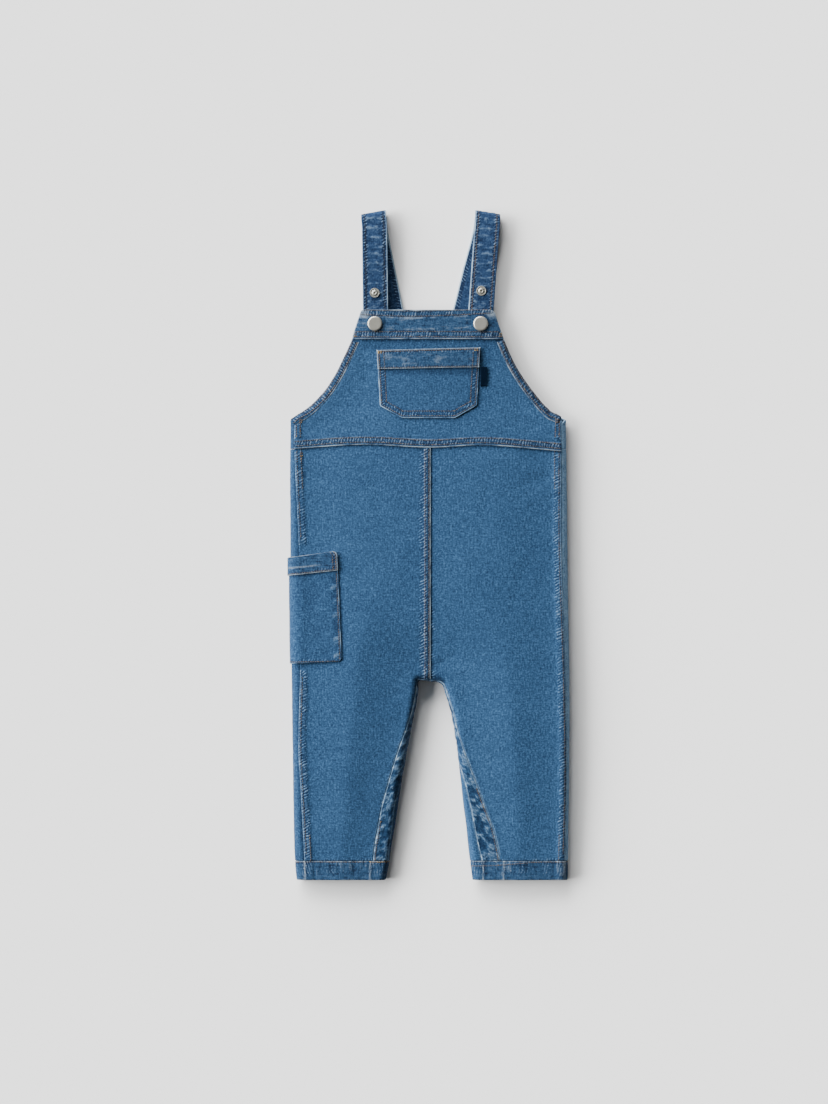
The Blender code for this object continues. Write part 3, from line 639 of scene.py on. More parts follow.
@dataclass(frozen=True)
class Denim:
    """Washed denim: indigo warp with pale slubs, worn high places and dark hollows."""

    name: str
    deep: Colour
    base: Colour
    worn: Colour
    pale: Colour
    heather: float = 2.25
    slub: float = 0.9
    mottle: float = 0.12
    cloud: float = 0.2
    streaks: float = 0.0
    rib: float = 2.7
    reverse: Colour = (0.055, 0.08, 0.11)
    bare: Colour = (0.215, 0.280, 0.335)

    def make(self) -> Material:
        """Builds the material.

        Returns:
            The material.
        """
        graph = Graph(self.name)
        place = graph.cloth_place()
        heather = graph.noise(place, 1.75, 3.0, 0.7)
        slub = graph.noise(graph.mapped(place, (1.0, 0.22, 1.0)), 1.4, 2.0)
        weft = graph.noise(graph.mapped(place, (0.2, 1.0, 1.0)), 1.3, 1.0)
        mottle = graph.noise(place, 6.0, 3.0, 0.6)
        cloud = graph.noise(place, 38.0, 2.0)
        twill = graph.bands(place, "X", 0.91, 28, 0.6)
        tone = 0.5 + self.heather * heather + self.slub * slub + 0.5 * self.slub * weft
        tone = tone + self.mottle * mottle + self.cloud * cloud + 0.06 * twill
        if self.streaks:
            tone = tone + self.streaks * graph.noise(graph.mapped(place, (0.22, 1.0, 1.0)), 2.6, 2.0)
        sewn = graph.attribute("sewn")
        upright = graph.bands(place, "X", self.rib, 14, 4.0)
        level = graph.bands(place, "Y", self.rib, -26, 4.0)
        tick = sewn.larger(0.0) * upright + (0.0 - sewn).larger(0.0) * level
        tick = tick * (0.3 + 3.4 * heather + 2.2 * mottle)
        # pale and dark carry wear and darker indigo, and in some pieces painted light and painted shade
        worn, dark = graph.attribute("pale"), graph.attribute("dark")
        breakup = (0.8 + 1.8 * heather + 0.9 * mottle).clamped()
        tone = (tone + 2.1 * tick - dark * (0.44 + 0.22 * mottle)).clamped()
        colour = graph.ramp(tone, [(0.0, self.deep), (0.5, self.base), (1.0, self.worn)])
        colour = graph.blend((worn * breakup + 1.7 * tick - 0.13).clamped(), colour, self.pale)
        colour = graph.blend(((worn - 1.0) * (1.6 + 1.2 * heather)).clamped(), colour, self.bare)
        colour = graph.blend(graph.attribute("reverse") * 0.5, colour, self.reverse)
        graph.set(Base_Color=colour, Roughness=0.9 - 0.12 * dark, Specular_IOR_Level=0.08,
                  Sheen_Weight=0.03, Sheen_Roughness=0.45)
        graph.bump(heather * 0.9 + slub * 0.7 + 0.35 * twill + 0.9 * tick, 0.28, 0.5)
        return graph.material


@dataclass(frozen=True)
class Thread:
    """Sewing thread, from dull brown over rust to gold as each stitch's tone asks."""

    name: str = "sewing_thread"
    stops: tuple[tuple[float, Colour], ...] = (
        (0.0, (0.005, 0.008, 0.016)),
        (0.22, (0.014, 0.016, 0.021)),
        (0.45, (0.058, 0.053, 0.052)),
        (0.6, (0.062, 0.047, 0.039)),
        (0.75, (0.088, 0.060, 0.031)),
        (1.0, (0.260, 0.170, 0.045)),
    )

    def make(self) -> Material:
        """Builds the material.

        Returns:
            The material.
        """
        graph = Graph(self.name)
        place = graph.object_place()
        fibre = graph.noise(place, 0.5, 2.0)
        tone = (graph.attribute("tone") + 0.16 * fibre).clamped()
        colour = graph.ramp(tone, self.stops)
        graph.set(Base_Color=colour, Roughness=0.75 + 0.3 * fibre, Specular_IOR_Level=0.15)
        graph.bump(fibre, 0.1, 0.5)
        return graph.material


@dataclass(frozen=True)
class WovenTape:
    """Plain navy tape in a fine plain weave."""

    name: str = "bare_navy_tape"
    base: Colour = (0.0004, 0.0022, 0.0066)
    light: Colour = (0.0014, 0.0056, 0.0150)

    def make(self) -> Material:
        """Builds the material.

        Returns:
            The material.
        """
        graph = Graph(self.name)
        place = graph.cloth_place()
        warp = graph.bands(place, "X", 0.75) + 0.5
        weft = graph.bands(place, "Y", 0.6) + 0.5
        noise = graph.noise(place, 1.2, 3.0)
        weave = (warp * weft * 0.55 + 0.2 + noise * 0.9 + graph.attribute("pale") * 0.6).clamped()
        graph.set(Base_Color=graph.blend(weave, self.base, self.light), Roughness=0.85 + 0.2 * noise,
                  Specular_IOR_Level=0.02)
        graph.bump(warp * weft, 0.18, 0.6)
        return graph.material


@dataclass(frozen=True)
class BrushedNickel:
    """Pale nickel plate, finely brushed and a little dulled."""

    name: str = "worn_nickel"
    base: Colour = (0.44, 0.435, 0.385)
    dull: Colour = (0.29, 0.285, 0.25)
    roughness: float = 0.42

    def make(self) -> Material:
        """Builds the material.

        Returns:
            The material.
        """
        graph = Graph(self.name)
        place = graph.object_place()
        brushed = graph.noise(graph.mapped(place, (0.12, 1.0, 1.0), math.radians(20)), 0.45, 3.0)
        wear = graph.noise(place, 2.6, 4.0, 0.6)
        pits = graph.noise(place, 0.9, 2.0)
        tone = (0.42 + 1.1 * wear + 0.5 * pits).clamped()
        roughness = self.roughness + 0.22 * brushed + 0.2 * wear
        graph.set(Base_Color=graph.blend(tone, self.base, self.dull), Metallic=0.85, Roughness=roughness)
        graph.bump(brushed * 0.5 + pits * 0.5, 0.06, 0.5)
        return graph.material


@dataclass(frozen=True)
class PaleFloor:
    """A plain pale matt floor."""

    name: str = "pale_floor"
    base: Colour = (0.80, 0.803, 0.80)

    def make(self) -> Material:
        """Builds the material.

        Returns:
            The material.
        """
        graph = Graph(self.name)
        tone = graph.noise(graph.object_place(), 60.0, 3.0)
        dim = tuple(0.985 * value for value in self.base)
        graph.set(Base_Color=graph.blend((0.5 + tone).clamped(), self.base, dim), Roughness=0.9)
        graph.set(Specular_IOR_Level=0.2)
        return graph.material


@dataclass
class Lay:
    """Where a piece's grid lies, and how far its points are along the cloth from its borders."""

    spot: Array
    left: Array
    right: Array
    foot: Array
    head: Array

    @classmethod
    def of(cls, spot: Array) -> "Lay":
        """Measures a grid of points, columns first.

        Args:
            spot: The grid of points.

        Returns:
            The distances.
        """
        across = np.cumsum(np.linalg.norm(np.diff(spot, axis=0), axis=2), axis=0)
        along = np.cumsum(np.linalg.norm(np.diff(spot, axis=1), axis=2), axis=1)
        left = np.vstack([np.zeros((1, spot.shape[1])), across])
        foot = np.hstack([np.zeros((spot.shape[0], 1)), along])
        return cls(spot, left, left[-1:] - left, foot, foot[:, -1:] - foot)

    @property
    def x(self) -> Array:
        """How far across the points are."""
        return self.spot[..., 0]

    @property
    def up(self) -> Array:
        """How far along the points are."""
        return self.spot[..., 1]

    @property
    def z(self) -> Array:
        """How high the points are."""
        return self.spot[..., 2]

    @property
    def around(self) -> Array:
        """How far round a leg the points are, the same all along it."""
        return self.left.mean(axis=1, keepdims=True) + 0.0 * self.left

    @property
    def turned(self) -> Array:
        """How far the points are from the left, counted back."""
        return -self.left


@dataclass
class Dressing:
    """What is added to a plain layer: relief, thickness, pale places (wear, in some pieces painted light),
    dark places (in some pieces painted shade) and closely sewn places.

    Sewn places have short creases up and down the weave above zero, and across it below zero.
    """

    lift: Number = 0.0
    thick: Number = 0.0
    pale: Number = 0.0
    dark: Number = 0.0
    sewn: Number = 0.0

    def times(self, share: Number) -> "Dressing":
        """The same, weaker by a share."""
        return Dressing(*(getattr(self, item.name) * share for item in fields(self)))

    def plus(self, other: "Dressing") -> "Dressing":
        """Both together."""
        return Dressing(*(getattr(self, item.name) + getattr(other, item.name) for item in fields(self)))


def mesh_from(bm: bmesh.types.BMesh, name: str) -> bpy.types.Mesh:
    """Turns a bmesh into a mesh, and frees it.

    Args:
        bm: The bmesh.
        name: The mesh's name.

    Returns:
        The mesh.
    """
    mesh = bpy.data.meshes.new(name)
    bm.to_mesh(mesh)
    bm.free()
    return mesh


def points_of(mesh: bpy.types.Mesh) -> Array:
    """Reads where a mesh's points are.

    Args:
        mesh: The mesh.

    Returns:
        One row for each point.
    """
    spots = np.empty(len(mesh.vertices) * 3)
    mesh.vertices.foreach_get("co", spots)
    return spots.reshape(-1, 3)


def slab(columns: int, rows: int, closed: bool) -> tuple[bpy.types.Mesh, Array, Array, Array]:
    """Makes the faces of a wall of cloth, before it is laid out.

    Args:
        columns: Points across.
        rows: Points along.
        closed: Whether the columns go round a tube.

    Returns:
        The mesh, and each point's column, row and whether it is on the inner layer.
    """
    bm = bmesh.new()
    bmesh.ops.create_grid(bm, x_segments=columns if closed else columns - 1, y_segments=rows - 1, size=0.5)
    if closed:
        for vert in bm.verts:
            turn = (vert.co.x + 0.5) * math.tau
            vert.co = (math.cos(turn), math.sin(turn), vert.co.y + 0.5)
        bmesh.ops.remove_doubles(bm, verts=bm.verts[:], dist=1e-5)
    inner = bmesh.ops.extrude_face_region(bm, geom=bm.faces[:])["geom"]
    inner = [item for item in inner if isinstance(item, bmesh.types.BMVert)]
    if closed:
        bmesh.ops.scale(bm, vec=(0.5, 0.5, 1.0), verts=inner)
    else:
        bmesh.ops.translate(bm, vec=(0.0, 0.0, -1.0), verts=inner)
    bmesh.ops.recalc_face_normals(bm, faces=bm.faces[:])
    mesh = mesh_from(bm, "cloth")
    x, y, z = points_of(mesh).T
    if closed:
        i = np.rint(np.arctan2(y, x) / math.tau * columns).astype(int) % columns
        return mesh, i, np.rint(z * (rows - 1)).astype(int), np.hypot(x, y) < 0.75
    i, j = (np.rint((value + 0.5) * (count - 1)).astype(int) for value, count in ((x, columns), (y, rows)))
    return mesh, i, j, z < -0.5


def signed_volume(mesh: bpy.types.Mesh) -> float:
    """Volume of a closed mesh, below zero where its faces look inwards.

    Args:
        mesh: The closed mesh.

    Returns:
        The volume in cubic metres.
    """
    mesh.calc_loop_triangles()
    corners = np.empty(len(mesh.loop_triangles) * 3, dtype=int)
    mesh.loop_triangles.foreach_get("vertices", corners)
    a, b, c = points_of(mesh)[corners.reshape(-1, 3)].transpose(1, 0, 2)
    return float((a * np.cross(b, c)).sum() / 6)


def to_world(spot: Array) -> Array:
    """Millimetres over the hem to metres about the middle of the garment."""
    return (spot - np.array((0.0, LENGTH / 2, 0.0))) * MM


def link(mesh: bpy.types.Mesh, name: str, material: Material) -> bpy.types.Object:
    """Makes a mesh into a named piece that rides on the garment.

    Args:
        mesh: The piece's mesh.
        name: Its name.
        material: Its finish.

    Returns:
        The piece.
    """
    mesh.name = name
    mesh.materials.append(material)
    piece = bpy.data.objects.new(name, mesh)
    bpy.context.scene.collection.objects.link(piece)
    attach(piece, "root")
    return piece


@dataclass
class Cloth:
    """One cut piece of cloth, laid out as a grid of columns and rows."""

    finish: Material
    side: Side = Side.LEFT
    node: str = ""
    slot: str = "denim"
    rests_on: Names = ()
    trims: Names = ()
    outer: float = 0.0
    wall: float = CLOTH
    closed: bool = False
    core: Pair = (0.0, 6.0)
    probe_row: float = 0.5
    borders: str = "left right foot head"
    border_roll: float = 0.5
    edge_drop: float = 0.7
    lined: bool = False
    is_trim: bool = False
    weave: str = "x up"
    column_grade: Grade = (100, FINE, FINE, 2.0)
    row_grade: Grade = (100, FINE, FINE, 2.0)

    def __post_init__(self) -> None:
        """Puts the side into the node's name and into the middle that the cloth lies round."""
        self.node = self.node.format(self.side.value)
        self.core = (self.core[0] * self.side.sign, self.core[1])

    def across(self) -> Array:
        """Positions of the columns."""
        return graded(*self.column_grade)

    def along(self) -> Array:
        """Positions of the rows."""
        return graded(*self.row_grade)

    def surface(self, u: Array, v: Array) -> Array:
        """Finds the skin under the piece.

        Args:
            u: The columns' positions.
            v: The rows' positions.

        Returns:
            The grid of points.
        """
        raise NotImplementedError

    def dress(self, lay: Lay) -> Dressing:
        """Works out what is added to the plain layer.

        Args:
            lay: Where the points lie.

        Returns:
            What is added.
        """
        raise NotImplementedError

    def normals(self, spot: Array) -> Array:
        """The way out of the cloth at each point.

        Args:
            spot: The grid of points.

        Returns:
            Unit vectors in the same grid.
        """
        if self.closed:
            padded = np.concatenate([spot[-2:-1], spot, spot[1:2]], axis=0)
            du = (padded[2:] - padded[:-2])[: len(spot)]
        else:
            du = np.gradient(spot, axis=0)
        normal = unit(np.cross(du, np.gradient(spot, axis=1)))
        i, j = spot.shape[0] // 2, int(spot.shape[1] * self.probe_row)
        probe = spot[i, j] - np.array((self.core[0], spot[i, j, 1], self.core[1]))
        return normal if normal[i, j] @ probe > 0 else -normal

    def border_distance(self, lay: Lay) -> Array:
        """How far points are from the nearest free border.

        Args:
            lay: Where the points lie.

        Returns:
            The distances.
        """
        near = np.full(lay.left.shape, np.inf)
        for border in self.borders.split():
            near = np.minimum(near, getattr(lay, border))
        return near

    def build(self) -> "Cloth":
        """Lays the piece out, gives it its thickness and dresses it.

        Returns:
            The piece itself, with its outer side kept for what is sewn on it.
        """
        u, v = np.meshgrid(self.across(), self.along(), indexing="ij")
        spot = self.surface(u, v)
        lay = Lay.of(spot)
        normal = self.normals(spot)
        dressing = self.dress(lay)
        lift, thick, pale, dark, sewn = (
            np.broadcast_to(getattr(dressing, item.name), lay.left.shape).astype(float)
            for item in fields(dressing)
        )
        lift, wall = self.outer + lift, self.wall + thick
        pale, dark = np.clip(pale, 0, 2), over(dark)
        roll = self.border_roll
        near = np.minimum(self.border_distance(lay), roll)
        sag = (roll - np.sqrt(roll**2 - (roll - near) ** 2)) * np.clip((wall / 2 - 0.08) / roll, 0, 1)
        self.outside = spot + normal * (lift - self.edge_drop * sag)[..., None]
        self.outward = normal
        self.lay = lay
        inside = spot + normal * (lift - wall + (2 - self.edge_drop) * sag)[..., None]
        self.outside[..., 2] = np.maximum(self.outside[..., 2], 0.0)
        inside[..., 2] = np.maximum(inside[..., 2], 0.1)
        columns, rows = spot.shape[:2]
        if self.closed:
            columns -= 1
        mesh, i, j, is_inner = slab(columns, rows, self.closed)
        spots = np.where(is_inner[:, None], inside[i, j], self.outside[i, j])
        mesh.vertices.foreach_set("co", to_world(spots).ravel())
        mesh.update()
        if signed_volume(mesh) < 0:
            mesh.flip_normals()
        self.keep_pattern(mesh, i, j, columns)
        looks = {"pale": pale[i, j], "dark": dark[i, j], "sewn": sewn[i, j]}
        looks["reverse"] = is_inner * (0.0 if self.lined else 1.0)
        for name, value in looks.items():
            mesh.attributes.new(name, "FLOAT", "POINT").data.foreach_set("value", value)
        mesh.shade_smooth()
        mesh.set_sharp_from_angle(angle=math.radians(62))
        self.piece = link(mesh, f"{self.node}_cloth", self.finish)
        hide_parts(self.node)
        log.info("%s: %d by %d points", self.piece.name, columns, rows)
        return self

    def keep_pattern(self, mesh: bpy.types.Mesh, i: Array, j: Array, columns: int) -> None:
        """Keeps the place of each corner on the cloth.

        Args:
            mesh: The piece's mesh.
            i: Each point's column.
            j: Each point's row.
            columns: Points across.
        """
        pattern = np.stack([getattr(self.lay, name) for name in self.weave.split()], axis=-1)
        corners = np.empty(len(mesh.loops), dtype=int)
        mesh.loops.foreach_get("vertex_index", corners)
        column, row = i[corners], j[corners]
        if self.closed:
            starts = np.empty(len(mesh.polygons), dtype=int)
            mesh.polygons.foreach_get("loop_start", starts)
            counts = np.diff(np.append(starts, len(corners)))
            last = np.repeat(np.maximum.reduceat(column, starts), counts)
            column = np.where((last - column) > columns / 2, columns, column)
        layer = mesh.uv_layers.new(name="cloth")
        layer.data.foreach_set("uv", (pattern[column, row] * MM).ravel())

    def declare(self) -> None:
        """Does nothing: the piece's cut is not stated here."""
        if self.is_trim:
            return

    def row(self, border: str, distance: Distance) -> tuple[Array, Array]:
        """Points of the outer side that run beside a border.

        Args:
            border: The border: left, right, foot or head.
            distance: How far in from it.

        Returns:
            The points and the ways out of the cloth there.
        """
        away = getattr(self.lay, border)
        outside, outward = self.outside, self.outward
        if border in ("left", "right"):
            away, outside, outward = away.T, outside.swapaxes(0, 1), outward.swapaxes(0, 1)
        if border in ("right", "head"):
            away, outside, outward = away[:, ::-1], outside[:, ::-1], outward[:, ::-1]
        spots, ways = [], []
        for reach, line_spots, line_ways in zip(away, outside, outward):
            at = distance(line_spots[0]) if callable(distance) else distance
            spots.append(read_along(reach, line_spots, at))
            ways.append(read_along(reach, line_ways, at))
        return np.array(spots), np.array(ways)


@dataclass(frozen=True)
class PuckeredBand:
    """A sewn band beside a border: thicker, puckered by its stitches, worn on its high places."""

    reach: float = 7.6
    fade: float = 3.0
    bulk: float = 0.7
    pucker: float = 0.32
    pitch: float = 3.3
    slant: float = 0.28
    rows: tuple[float, ...] = (6.5,)
    edge_pale: float = 0.85
    wear: float = 0.9
    shade: float = 0.25
    close: float = 1.0
    hollow: float = 0.0
    seed: int = 3

    def dress(self, away: Array, along: Array) -> Dressing:
        """Works out the band.

        Args:
            away: Distance from the border.
            along: Distance along the border.

        Returns:
            The relief, thickness and wear of the band.
        """
        grain, fine = Grain(self.seed), Grain(self.seed + 1)
        bulk = self.bulk * (1 - smooth((away - self.reach + self.fade / 2) / self.fade))
        inside = within(away, 0.9, self.reach - 0.6, 1.4)
        ticks = grain.rough(along / self.pitch + away * self.slant, away / 7.0) * inside
        dimple = sum((line(away - row, 0.75) for row in self.rows), np.zeros(away.shape))
        patchy = 0.72 + 0.5 * fine.at(along / 9.0, away / 9.0)
        pale = self.edge_pale * line(away - 0.45, 0.5) * patchy
        pale = pale + self.wear * (0.45 * over(ticks, 0.12) * patchy + 0.10 * inside)
        dark = self.shade * inside + 0.4 * self.wear * over(-ticks, 0.1) + 0.2 * dimple
        dark = dark + self.hollow * line(away - 2.4, 2.0) * patchy
        lift, sewn = bulk + self.pucker * ticks - 0.1 * dimple, -self.close * inside * patchy
        return Dressing(lift, bulk * 0.9, pale, dark, sewn)


@dataclass
class FrontLeg(Cloth):
    """A trouser front, from the side seam in to the centre, the crotch and the gusset."""

    node: str = "front_leg_{}"
    core: Pair = (70.0, 3.0)
    column_grade: Grade = (
        112, (0.0, 0.3, 0.7, 1.2, 1.9, 2.7, 3.6, 4.6, 5.6, 6.6, 7.7, 9.0, 10.6),
        (0.0, 0.3, 0.75, 1.4, 2.3, 3.5, 5.0, 6.6, 8.2, 9.8, 11.4, 13.0, 14.8), 2.5,
    )
    crotch_row: float = 212.0
    first_torso_row: float = 220.0
    last_torso_row: float = 415.0
    side_band: PuckeredBand = PuckeredBand(
        edge_pale=0.7, wear=1.5, shade=0.06, close=1.25, hollow=0.3, seed=11
    )
    gusset_band: PuckeredBand = PuckeredBand(
        reach=3.4, bulk=0.1, rows=(), pucker=0.2, pitch=4.5, edge_pale=0.6, shade=0.1, close=0.15
    )
    crotch_bits: tuple[Pair, ...] = ((-8.5, 200.5), (7.0, 201.0), (11.5, 198.0))
    drag_depth: float = 0.30
    pocket_under: tuple[float, float, float] = (-84.0, 212.0, 332.0)

    def along(self) -> Array:
        """Heights of the rows' outer ends.

        Returns:
            The rows' positions.
        """
        low = HEM_ROW + np.array((0.0, 0.3, 0.75, 1.4, 2.2, 3.1, 4.2))
        return np.concatenate([
            low,
            np.arange(low[-1] + 2.2, self.crotch_row - 1, 2.2),
            np.arange(self.crotch_row, self.first_torso_row, 0.9),
            np.arange(self.first_torso_row, self.last_torso_row - 1, 2.3),
            np.linspace(self.last_torso_row, BACK_WAIST, 9)[:-1],
            (BACK_WAIST - 0.8, BACK_WAIST - 0.35, BACK_WAIST),
        ])

    def surface(self, u: Array, v: Array) -> Array:
        """The skin under the panel.

        Args:
            u: The columns' positions.
            v: The rows' positions.

        Returns:
            The grid of points.
        """
        rows, leg = v[0], LEGS[self.side]
        edge_x, seam = SKIN.side_seam(self.side, rows)
        outer = SKIN.rim(edge_x, rows, self.side.inward, seam + HALF_GAP)
        names = ("x", "up", "inward", "front_seam")
        x, up, inward, front_seam = (leg.read(name, np.minimum(rows, self.crotch_row)) for name in names)
        inner = SKIN.rim(x, up, inward, SKIN.girth(front_seam, up) + HALF_GAP)
        t = np.clip((rows - self.crotch_row) / (self.first_torso_row - self.crotch_row), 0, 1)
        inner_x = mix(inner[:, 0], CENTRE_X + self.side.sign * HALF_GAP, t)
        inner_up = np.where(t < 1, mix(inner[:, 1], self.first_torso_row, t), rows)
        plan_x = mix(outer[:, 0], inner_x, u)
        plan_up = mix(outer[:, 1], inner_up, u)
        rise = np.clip((v - self.last_torso_row) / (BACK_WAIST - self.last_torso_row), 0, 1)
        head = waist_height(plan_x) + WAIST_JOIN - SEAM_GAP
        return SKIN.on_top(plan_x, np.where(rise > 0, mix(self.last_torso_row, head, rise), plan_up))

    def dress(self, lay: Lay) -> Dressing:
        """Seam bulk, puckers beside the seams, wear, painted shadow by the centre and waist strips, and
        painted light and shade that even out the two legs.

        Args:
            lay: Where the points lie.

        Returns:
            What is added to the plain layer.
        """
        grain, fine = Grain(21 + self.side.sign), Grain(31)
        is_left = self.side is Side.LEFT
        below_waist = smooth((lay.head - 4.2) / 4.0)
        clear = below_waist
        if is_left:
            edge, low, high = self.pocket_under
            clear = clear * (1 - within(lay.up, low, high, 5.0) * smooth((edge - lay.x) / 4 + 1))
        band = self.side_band.dress(lay.left, lay.up).times(clear)
        # pale edge by the side seam: wear, and on the right leg more, as painted light on an edge in shade
        band.pale = band.pale + (0.1 if is_left else 0.6) * line(lay.left - 0.4, 0.6) * clear
        is_leg = 1 - smooth((lay.up - 184) / 12)
        gusset = self.gusset_band.dress(lay.right, lay.up).times(is_leg * smooth((lay.foot - 3.0) / 4.0))
        centre = smooth((lay.up - 199) / 4) * below_waist
        crotch = 0.45 + 0.55 * (1 - smooth((lay.up - 232) / 60))
        if is_left:
            drags = grain.rough(lay.up / 3.1 - lay.right * 0.22, lay.right / 8)
            drags = drags * within(lay.right, 7.2, 10.5, 4.5)
            # painted shadow: a dark line beside the left edge of the centre seam strip
            painted_seam_shadow = 0.35 * line(lay.right - 7.0, 1.0)
        else:
            drags = grain.rough(lay.up / 3.3 + lay.right * 0.2, lay.right / 8)
            drags = drags * within(lay.right, 1.2, 4.0, 3.5)
            # painted shadow: a dark line just right of the centre seam strip
            painted_seam_shadow = 0.35 * line(lay.right - 0.4, 1.1)
        drags = drags * centre * crotch
        rope = 0.75 + 0.4 * fine.at(lay.up / 13, 9.0)
        bits = sum(line(np.hypot(lay.x - x, lay.up - up), 3.6) for x, up in self.crotch_bits)
        ticks = fine.rough(lay.x / 2.4, lay.up / 7) * within(lay.foot, 0.4, 2.2, 1.6)
        soft = 0.10 * grain.rough(lay.x / 9, lay.up / 12) * below_waist
        return band.plus(gusset).plus(Dressing(
            lift=self.drag_depth * drags + 0.14 * ticks + soft,
            pale=0.5 * over(drags, 0.1) + 0.5 * over(ticks, 0.05),
            # painted shadow: the term on lay.head darkens the leg just under the waist strip's lower edge
            dark=0.8 * over(-drags) + painted_seam_shadow * centre + 0.55 * (1 - smooth((lay.head - 4.0) / 2.2))
            # painted shade: the 0.09 darkens the left leg, to even out the stronger light from the left
            + 0.4 * over(-ticks) + 1.3 * bits + (0.09 if is_left else 0.0),
            sewn=0.5 * within(lay.foot, 0.0, 1.8, 1.2) - 0.9 * np.clip(np.abs(drags) * 2.4, 0, 1)
            - (1.5 * within(lay.right, 6.0, 9.0, 1.8) * centre * rope if is_left else 0.0),
        ))


def through_rows(keys: Sequence[float], rows: Sequence[Array], at: Array) -> Array:
    """Lays a grid through rows of points, not below the floor.

    Args:
        keys: Rising heights of the rows.
        rows: The points of each row.
        at: Heights of the grid's rows.

    Returns:
        The grid of points.
    """
    spot = curve(np.array(keys), np.array(rows), at).swapaxes(0, 1)
    spot[..., 2] = np.maximum(spot[..., 2], 0.0)
    return spot


UNDER_CREASES = Table(
    "x up end_x end_up width depth",
    (-40, 214, -92, 236, 7.0, 0.5), (-30, 196, -78, 178, 6.0, 0.5), (-122, 128, -84, 112, 8.0, 0.55),
    (-58, 92, -96, 84, 6.5, 0.4), (-124, 62, -90, 56, 6.0, 0.35), (-112, 330, -74, 318, 8.0, 0.4),
    (-122, 398, -88, 388, 6.5, 0.45), (-34, 300, -50, 258, 7.5, 0.4), (36, 216, 90, 232, 7.0, 0.5),
    (38, 194, 84, 182, 6.0, 0.45), (124, 120, 86, 108, 8.0, 0.55), (64, 96, 98, 88, 6.5, 0.4),
    (126, 58, 96, 52, 6.0, 0.35), (114, 322, 78, 312, 8.0, 0.4), (122, 402, 90, 390, 6.5, 0.45),
    (40, 292, 56, 252, 7.5, 0.4), (-70, 446, -40, 468, 6.0, 0.4), (66, 444, 38, 466, 6.0, 0.4),
    (-10, 452, 6, 476, 6.5, 0.3),
)


def under_troughs(lay: Lay) -> Array:
    """Works out the soft creases on the side that lies on the floor, inward only.

    Args:
        lay: Where the points lie.

    Returns:
        Their depth.
    """
    depth = np.zeros(lay.x.shape)
    for row in UNDER_CREASES.rows:
        t, away = beside(row[:2], row[2:4], lay.x, lay.up)
        depth = np.maximum(depth, row[5] * line(away, row[4] * (1.2 - 0.6 * t)) * (1 - 0.7 * t))
    return depth * smooth(1.0 - lay.z)


@dataclass
class BackLeg(Cloth):
    """A trouser back: rolls down from the side seam, lies flat and rolls up to the gusset."""

    node: str = "back_leg_{}"
    core: Pair = (70.0, 6.0)
    weave: str = "left up"
    centre_run: float = 12.0
    side_columns: int = 14
    floor_columns: int = 26
    rise_columns: int = 9
    wrap_pale: float = 0.3

    def across(self) -> Array:
        """Numbers of the columns."""
        return np.arange(1 + self.side_columns + self.floor_columns + self.rise_columns, dtype=float)

    def along(self) -> Array:
        """Heights of the rows' outer ends.

        Returns:
            The rows' positions.
        """
        low = HEM_ROW + np.array(EDGE)
        high = BACK_WAIST - HALF_GAP
        return np.concatenate([low, np.arange(low[-1] + 3.2, high - 3.5, 3.2), high - np.array(EDGE)[::-1]])

    def key_row(self, key: float, is_leg: bool) -> Array:
        """One row of the panel.

        Args:
            key: Height of the row's outer end.
            is_leg: Whether the row ends at the gusset.

        Returns:
            Its points from the side seam in.
        """
        leg = LEGS[self.side]
        side_t = np.linspace(0, 1, self.side_columns + 1)
        floor_t = np.linspace(0, 1, self.floor_columns + 1)[1:, None]
        rise_t = np.linspace(0, 1, self.rise_columns + 1)[1:]
        edge_x, seam = SKIN.side_seam(self.side, key)
        down = -SKIN.quarter(key)
        roll = SKIN.rim(edge_x, key, self.side.inward, mix(seam - HALF_GAP, down, side_t))
        start = roll[-1]
        if is_leg:
            x, up, inward, rear_seam = (leg.read(name, key) for name in ("x", "up", "inward", "rear_seam"))
            rear = SKIN.girth(rear_seam, up) - HALF_GAP
        if is_leg and key < leg.rows[-1, 0]:
            foot = -SKIN.quarter(up)
            rise = SKIN.rim(x, up, inward, mix(foot, rear, rise_t))
            end = SKIN.rim(x, up, inward, foot)
            return np.vstack([roll, mix(start, end, floor_t), rise])
        centre = np.array((CENTRE_X + self.side.sign * HALF_GAP, key, 0))
        last = SKIN.rim(x, up, inward, rear) if is_leg else centre
        near = mix(last, start, self.centre_run / np.linalg.norm(last - start))
        near[2] = 0.0
        return np.vstack([roll, mix(start, near, floor_t), mix(near, last, rise_t[:, None])])

    def surface(self, u: Array, v: Array) -> Array:
        """The skin over the panel.

        Args:
            u: Not used.
            v: The rows' positions.

        Returns:
            The grid of points.
        """
        legs = LEGS[self.side].rows[:, 0]
        keys = [*legs, *TORSO_ROWS, BACK_WAIST - HALF_GAP]
        return through_rows(keys, [self.key_row(key, key <= legs[-1]) for key in keys], v[0])

    def dress(self, lay: Lay) -> Dressing:
        """Soft troughs underneath, and the wrap beside the side seam, with painted light on the right wrap
        and painted shade on the left one.

        Args:
            lay: Where the points lie.

        Returns:
            What is added to the plain layer.
        """
        grain = Grain(41 + self.side.sign)
        wrap = 1 - smooth((lay.left - 9) / 8)
        ruck = grain.rough(lay.left / 6, lay.up / 4.2)
        rear = 1 - smooth((lay.right - 3.0) / 3.0)
        shallow = smooth((lay.z - 2.0) / 3.0)
        return Dressing(
            lift=0.22 * ruck * wrap * shallow - under_troughs(lay),
            # pale wrap: wear, and on the right painted light on the wrap that lies in shade
            pale=wrap * (self.wrap_pale + 0.3 * over(ruck)) + 0.5 * line(lay.right - 0.5, 0.8),
            dark=0.4 * wrap * over(-ruck) + 0.35 * rear
            # painted shade: the left wrap, which faces the light, is darkened
            + ((0.35 * wrap + 0.55 * line(lay.left - 0.2, 0.9)) if self.side is Side.LEFT else 0.0),
        )


